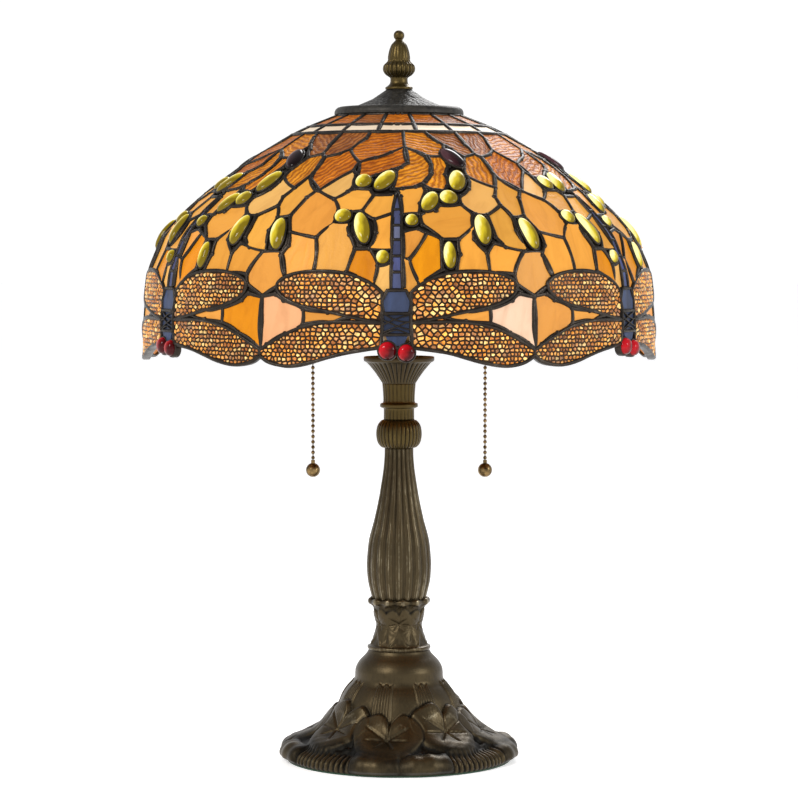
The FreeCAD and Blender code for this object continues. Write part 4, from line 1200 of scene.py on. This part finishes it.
def collar_relief(angle, height, radius):
    """Small lily pads over crossed stems round the collar, and a lip of wavy leaf tips."""
    lift = np.zeros_like(angle)
    wear_and_shade = np.full_like(angle, 0.36)
    for lean in (-1.5, 1.5):
        stem = wrapped(angle + lean * (height - 16.0), 0.0, 60.0) * np.radians(1) * radius
        lift += 0.9 * ridge(stem, 1.0) * rise(31.0 - height, 2.0)
        wear_and_shade += 0.34 * ridge(stem, 0.8) * rise(31.0 - height, 2.0)
    for centre, middle, size, notch in ((30.0, 18.0, 12.0, 180.0), (0.0, 22.0, 12.5, 0.0)):
        pad, shade, gap, leaf = lily_pad(angle, -height, radius, centre, 60.0, -middle, size, notch)
        lift = lift * (1 - 0.7 * leaf) + pad * 0.36
        # Painted shadow in the gap round each small pad's edge.
        wear_and_shade = wear_and_shade * (1 - leaf) + (0.38 + 0.2 * shade) * leaf - 0.2 * gap
    wave = sine(angle * 12)
    lip = rise(height - 35.6 - 1.2 * wave, 1.2)
    lift = lift * (1 - lip) + lip * (0.6 + 0.7 * wave)
    wear_and_shade = wear_and_shade * (1 - lip) + lip * (0.5 + 0.24 * wave)
    band = rise(4.4 - height, 0.6)
    return lift * (1 - band), np.clip(wear_and_shade * (1 - band) + 0.66 * band, 0, 1)


def carved(name, outline, foot, relief, stuff, replaced, around, per_span, by_run=False):
    """A turned casting with relief on it, standing at a height, on the stand or the finial's body."""
    curve = catmull_rom(outline, per_span)
    curve[:, 0] = np.maximum(curve[:, 0], 0.0)
    step = np.gradient(curve, axis=0)
    out = np.column_stack([step[:, 1], -step[:, 0]])
    out /= np.maximum(np.linalg.norm(out, axis=1), 1e-9)[:, None]
    if outline[0][1] > outline[-1][1]:
        out = -out
    run = np.r_[0, np.cumsum(np.hypot(*np.diff(curve, axis=0).T))]
    angle = np.arange(around) * 360 / around - 180
    grid, levels = np.meshgrid(angle, np.arange(len(curve)))
    radius, height = curve[levels, 0], curve[levels, 1]
    if by_run:
        lift, wear_and_shade = relief(grid, run[levels], radius, height)
    else:
        lift, wear_and_shade = relief(grid, height, radius)
    lift = lift * np.clip(radius / 2.5, 0, 1)
    radius = radius + lift * out[levels, 0]
    height = height + lift * out[levels, 1] + foot
    turn = np.radians(grid)
    points = np.stack([radius * np.sin(turn), -radius * np.cos(turn), height], axis=-1)
    points = points.reshape(-1, 3) * MM
    faces = lathe_faces(len(curve), around, capped=True)
    if outline[0][1] > outline[-1][1]:
        faces = [tuple(reversed(face)) for face in faces]
    mesh = bpy.data.meshes.new(name)
    mesh.from_pydata(points.tolist(), [], faces)
    mesh.polygons.foreach_set("use_smooth", [len(face) == 4 for face in faces])
    # Per-vertex lightness for the bronze: lighter where the metal is rubbed on raised relief, darker in the
    # hollows as patina and painted shade.
    layer = mesh.attributes.new("wear_and_shade", "FLOAT_COLOR", "POINT")
    shade = np.repeat(np.clip(wear_and_shade, 0, 1).reshape(-1, 1), 4, axis=1).astype(np.float32)
    layer.data.foreach_set("color", shade.ravel())
    mesh.materials.append(stuff)
    made = bpy.data.objects.new(name, mesh)
    bpy.context.scene.collection.objects.link(made)
    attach(made, "finial" if name == "finial_casting" else "stand")
    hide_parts(*replaced)


def both(*reliefs):
    """Several reliefs on one piece, added together."""
    def relief(angle, height, radius):
        made = [one(angle, height, radius) for one in reliefs]
        return sum(lift for lift, _ in made), sum(wear_and_shade for _, wear_and_shade in made) / len(made)
    return relief


def bronze(name, hollow_patina_and_shade, body, worn):
    """Antique bronze: dark in its hollows, partly patina and partly painted shade, rubbed to a lighter metal
    where the relief stands proud.
    """
    made, tree, shader = material(name, roughness=0.42, metallic=0.84)
    place = coordinates(tree)
    drawn = node(tree, "ShaderNodeMapping", {"Vector": place, "Scale": (1.0, 1.0, 0.25)}).outputs["Vector"]
    patches = noise(tree, place, 42.0, 7.0, Roughness=0.62)
    scratches = noise(tree, drawn, 620.0, 4.0, Roughness=0.7)
    # The painted lightness: rubbed metal on the relief, patina and painted shade in the hollows.
    level = painted(tree, "wear_and_shade", "Fac")
    for spots, gain in ((patches, 0.5), (scratches, 0.34)):
        shift = scaled(tree, spots, gain, -gain / 2)
        level = node(tree, "ShaderNodeMath", {0: level, 1: shift}, operation="ADD").outputs[0]
    soft = bump(tree, patches, 0.30, 0.0012)
    feed(tree, shader,
         Base_Color=ramp(tree, level, (0.08, hollow_patina_and_shade), (0.42, body), (0.66, body), (0.98, worn)),
         Roughness=ramp(tree, level, (0.1, grey(0.52)), (0.9, grey(0.24))),
         Normal=bump(tree, scratches, 0.35, 0.0004, soft))
    return made


def plain_metal(name, dark, light, rough, scale=160.0):
    """A metal with cloudy tarnish and small dents, for parts without relief of their own."""
    made, tree, shader = material(name, roughness=rough, metallic=1.0)
    cloud = noise(tree, coordinates(tree), scale, 6.0, Roughness=0.6)
    feed(tree, shader,
         Base_Color=ramp(tree, cloud, (0.32, dark), (0.7, light)),
         Roughness=ramp(tree, cloud, (0.3, grey(rough + 0.15)), (0.7, grey(rough))),
         Normal=bump(tree, cloud, 0.15, 0.0008))
    return made


def hammered(name):
    """The cap's dark planished metal, pitted all over but for its smooth edge."""
    made, tree, shader = material(name, roughness=0.5, metallic=0.4, Specular_IOR_Level=0.3)
    place = coordinates(tree)
    dents = node(tree, "ShaderNodeTexVoronoi", {"Vector": place, "Scale": 330.0}, feature="SMOOTH_F1")
    dents = dents.outputs["Distance"]
    cloud = noise(tree, place, 120.0, 6.0)
    split = node(tree, "ShaderNodeSeparateXYZ", {"Vector": place}).outputs
    flat = node(tree, "ShaderNodeCombineXYZ", {"X": split["X"], "Y": split["Y"]}).outputs["Vector"]
    radius = node(tree, "ShaderNodeVectorMath", {0: flat}, operation="LENGTH").outputs["Value"]
    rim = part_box("shade_cap")[1][0]
    crown = node(tree, "ShaderNodeMapRange", {"Value": radius, "From Min": rim * 0.95, "From Max": rim * 0.90,
                                              "To Min": 0.05, "To Max": 0.8}).outputs["Result"]
    shade = mixed(tree, dents, colour(62, 59, 54), colour(24, 23, 21))
    rough = bump(tree, dents, crown, 0.0012)
    feed(tree, shader,
         Base_Color=times(tree, shade, ramp(tree, cloud, (0.3, grey(0.55)), (0.7, (1.15, 1.12, 1.05, 1)))),
         Normal=bump(tree, cloud, 0.4, 0.0006, rough))
    return made


def mottled(name, dark, light, scale, detail, dent, depth, roughness, more=None, **sockets):
    """A material that isn't metal, in two shades of noise with a little bump."""
    made, tree, shader = material(name, roughness=roughness, **sockets)
    spots = noise(tree, coordinates(tree), scale, detail, **(more or {}))
    feed(tree, shader, Base_Color=ramp(tree, spots, (0.3, dark), (0.7, light)),
         Normal=bump(tree, spots, dent, depth))
    return made


def felt(name):
    """Green felt with a soft nap."""
    return mottled(name, colour(18, 42, 30), colour(52, 84, 62), 900.0, 5.0, 0.6, 0.0008, 0.95,
                   {"Roughness": 0.8}, Sheen_Weight=0.12, Sheen_Roughness=0.6)


def moulding(name, dark, light, rough=0.5):
    """A moulded or pressed part, slightly mottled."""
    return mottled(name, dark, light, 300.0, 5.0, 0.2, 0.0005, rough)


def frosted_bulb(name):
    """A frosted bulb with a faint warm glow, a little cloudy."""
    made, tree, shader = material(name, roughness=0.45, Coat_Weight=0.4)
    frost = noise(tree, coordinates(tree, "Generated"), 14.0, 5.0)
    shade = ramp(tree, frost, (0.3, colour(236, 206, 160)), (0.7, colour(246, 228, 196)))
    feed(tree, shader, Base_Color=shade, Emission_Color=shade, Normal=bump(tree, frost, 0.1, 0.0004))
    shader.inputs["Emission Strength"].default_value = 0.1
    return made


def dress(stuff, *nodes):
    """Gives carried-over CAD nodes their material."""
    for name in nodes:
        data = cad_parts[name].data
        data.materials.clear()
        data.materials.append(stuff)


def each_side(*names):
    """The names of parts that come in a left and a right."""
    return [f"{side}_{name}" for side in ("left", "right") for name in names]


def castings():
    """The stand's castings and the finial, each in place of its plain CAD solid."""
    def low(name):
        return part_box(name)[0][2] / MM

    cast = bronze("antique_bronze", colour(14, 12, 7), colour(66, 56, 37), colour(178, 166, 138))
    gilt = bronze("rubbed_bronze", colour(18, 14, 6), colour(74, 61, 30), colour(180, 156, 98))
    carved("foot_leaves", FOOT, 0.0, foot_relief, cast, ["foot_casting"], around=720, per_span=5, by_run=True)
    carved("collar_leaves", COLLAR, low("leaf_collar"), collar_relief, cast, ["leaf_collar"], 300, 10)
    column_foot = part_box("fluted_column")[1][2] / MM - COLUMN[-1][1]
    flutes = both(reeds(19, 1.6, crest=0.78), reeds(76, 0.25, crest=0.66))
    carved("column_reeds", COLUMN, column_foot, flutes, cast, ["fluted_column"], 456, 9)
    carved("knop_ribs", KNOP, low("ribbed_knop"), reeds(32, 0.9, 1.0, 22.0), gilt, ["ribbed_knop"], 384, 8)
    carved("neck_rings", NECK, low("ringed_neck"), both(reeds(24, 0.7, -5, 8.2), reeds(24, 0.7, 14.6, 40)),
           gilt, ["ringed_neck"], 288, 8)
    carved("cup_ribs", CUP, low("flared_cup"), reeds(36, 0.9, 1.0, 16.6), cast, ["flared_cup"], 360, 6)
    carved("finial_casting", FINIAL, low("finial"), both(reeds(20, 1.3, 9.6, 22.6), reeds(14, 0.35, 24, 37)),
           gilt, ["finial"], 280, 6)


def fittings():
    """Materials of the CAD nodes that are shown as they are."""
    brass = plain_metal("aged_brass", colour(92, 70, 40), colour(142, 112, 66), 0.36, scale=70.0)
    chain = plain_metal("chain_bronze", colour(52, 42, 28), colour(150, 124, 82), 0.28, scale=300.0)
    steel = plain_metal("zinc_plate", colour(128, 128, 130), colour(156, 156, 158), 0.34, scale=60.0)
    dress(brass, "cluster_hub",
          *each_side("nipple", "holder_cap", "holder_shell", "chain_mouth", "screw_shell"))
    dress(chain, *each_side("bead_chain", "chain_ball", "pull_rod"))
    dress(steel, "foot_washer", "foot_nut", "threaded_pipe", "seat_washer", "seat_nut", "riser_tube")
    dress(hammered("hammered_cap"), "shade_cap")
    dress(SOLDER, "crown_collar")
    dress(felt("green_felt"), "felt_pad")
    dress(moulding("black_bush", colour(14, 14, 14), colour(38, 36, 34)), "cord_bush")
    dress(moulding("liner_card", colour(120, 96, 66), colour(168, 142, 104), 0.8), *each_side("holder_liner"))
    dress(moulding("switch_moulding", colour(18, 15, 13), colour(44, 38, 34)), *each_side("switch_body"))
    dress(frosted_bulb("frosted_bulb"), *each_side("bulb_glass"))
    dress(plain_metal("bulb_thread", colour(130, 124, 110), colour(214, 208, 196), 0.25),
          *each_side("bulb_base", "bulb_contact"))


# ---------------------------------------------------------------- making

SOLDER = solder("solder_patina")
BLUE_GLASS = opal_glass("blue_grey_glass", 0.25, 0.16)
FILIGREE = solder("filigree_patina", (34, 22, 12), (58, 38, 22), (92, 66, 42))
GRAIN_GLASS = grain_glass("grain_glass")
# Each jewel's colours: its painted shade, its own colour, its painted highlight, and its glow.
GREEN_JEWEL = cabochon_glass("green_jewel", colour(112, 94, 8), colour(194, 172, 34),
                             colour(246, 238, 160), 1.0)
DARK_JEWEL = cabochon_glass("dark_jewel", colour(24, 8, 10), colour(58, 24, 30), colour(96, 60, 66), 0.25)
RED_JEWEL = cabochon_glass("red_jewel", colour(74, 0, 5), colour(168, 0, 14), colour(214, 20, 34), 0.45)
AMBER_SHEET = opal_glass("amber_opal_glass", 0.12, 0.42)
CREAM_SHEET = opal_glass("cream_opal_glass", 0.05, 0.42)
BROWN_SHEET = ripple_glass("brown_ripple_glass", 0.36)

field_panes(AMBER_TILES, "amber_panes", ["amber_field_glass"], AMBER_SHEET)
field_panes(BROWN_TILES, "brown_panes", ["brown_field_glass"], BROWN_SHEET)
gap_panes()
ring_panes("crown_panes", ["crown_glass"], BROWN_SHEET, CROWN_ROW, CREAM_ROW, ["rust", "dusky", "rust"])
ring_panes("cream_panes", ["cream_band_glass"], CREAM_SHEET, CREAM_ROW, BROWN_ROW, ["cream"])
dragonfly_glass()
wing_slabs()
wing_grains()
jewels()
leading()
rim_wire()
body_wires()
solder_beds()
castings()
fittings()

# ---------------------------------------------------------------- stage


def stage():
    """A plain pale floor, a pale sky and soft studio lights."""
    bpy.ops.mesh.primitive_plane_add(size=60)
    floor = bpy.context.object
    floor.name = "floor"
    paint, tree, shader = material("floor_paint", roughness=0.6)
    shader.inputs["Base Color"].default_value = (0.93, 0.93, 0.925, 1)
    shader.inputs["Emission Color"].default_value = (1.0, 1.0, 1.0, 1)
    shader.inputs["Emission Strength"].default_value = 0.47
    floor.data.materials.append(paint)

    world = bpy.data.worlds.new("studio")
    world.use_nodes = True
    tree = world.node_tree
    split = node(tree, "ShaderNodeSeparateXYZ", {"Vector": coordinates(tree, "Generated")})
    sky = ramp(tree, split.outputs["Z"], (0.0, grey(1)), (0.2, grey(1)), (0.55, (0.42, 0.42, 0.44, 1)))
    backdrop = tree.nodes["Background"]
    tree.links.new(sky, backdrop.inputs["Color"])
    backdrop.inputs["Strength"].default_value = 1.06
    bpy.context.scene.world = world

    for name, place, size, power, tone in (
        ("key", (-1.5, -1.7, 1.9), 0.8, 42, (1.0, 0.98, 0.95)),
        ("fill", (2.0, -0.9, 1.0), 0.7, 20, (0.96, 0.98, 1.0)),
        ("back", (0.6, 1.9, 1.8), 1.0, 24, (1.0, 1.0, 1.0)),
    ):
        light = bpy.data.lights.new(name, "AREA")
        light.size = size
        light.energy = power
        light.color = tone
        lamp = bpy.data.objects.new(name, light)
        lamp.location = place
        aim = Vector((0, 0, 0.3)) - lamp.location
        lamp.rotation_mode = "QUATERNION"
        lamp.rotation_quaternion = aim.to_track_quat("-Z", "Y")
        bpy.context.scene.collection.objects.link(lamp)


def camera():
    """A long lens far off, at the height of the lower shade and tipped down to take in the foot."""
    lens_pixels = 2935.0
    distance = 2.35
    height = 0.413
    tip = 3.0
    data = bpy.data.cameras.new("camera")
    data.sensor_width = 36.0
    data.lens = lens_pixels / IMAGE_SIDE * data.sensor_width
    data.clip_end = 50
    view = bpy.data.objects.new("camera", data)
    view.location = (0, -distance, height)
    view.rotation_euler = (math.radians(90 - tip), 0, 0)
    bpy.context.scene.collection.objects.link(view)
    bpy.context.scene.camera = view


stage()
camera()
bpy.context.scene.view_settings.view_transform = "Standard"
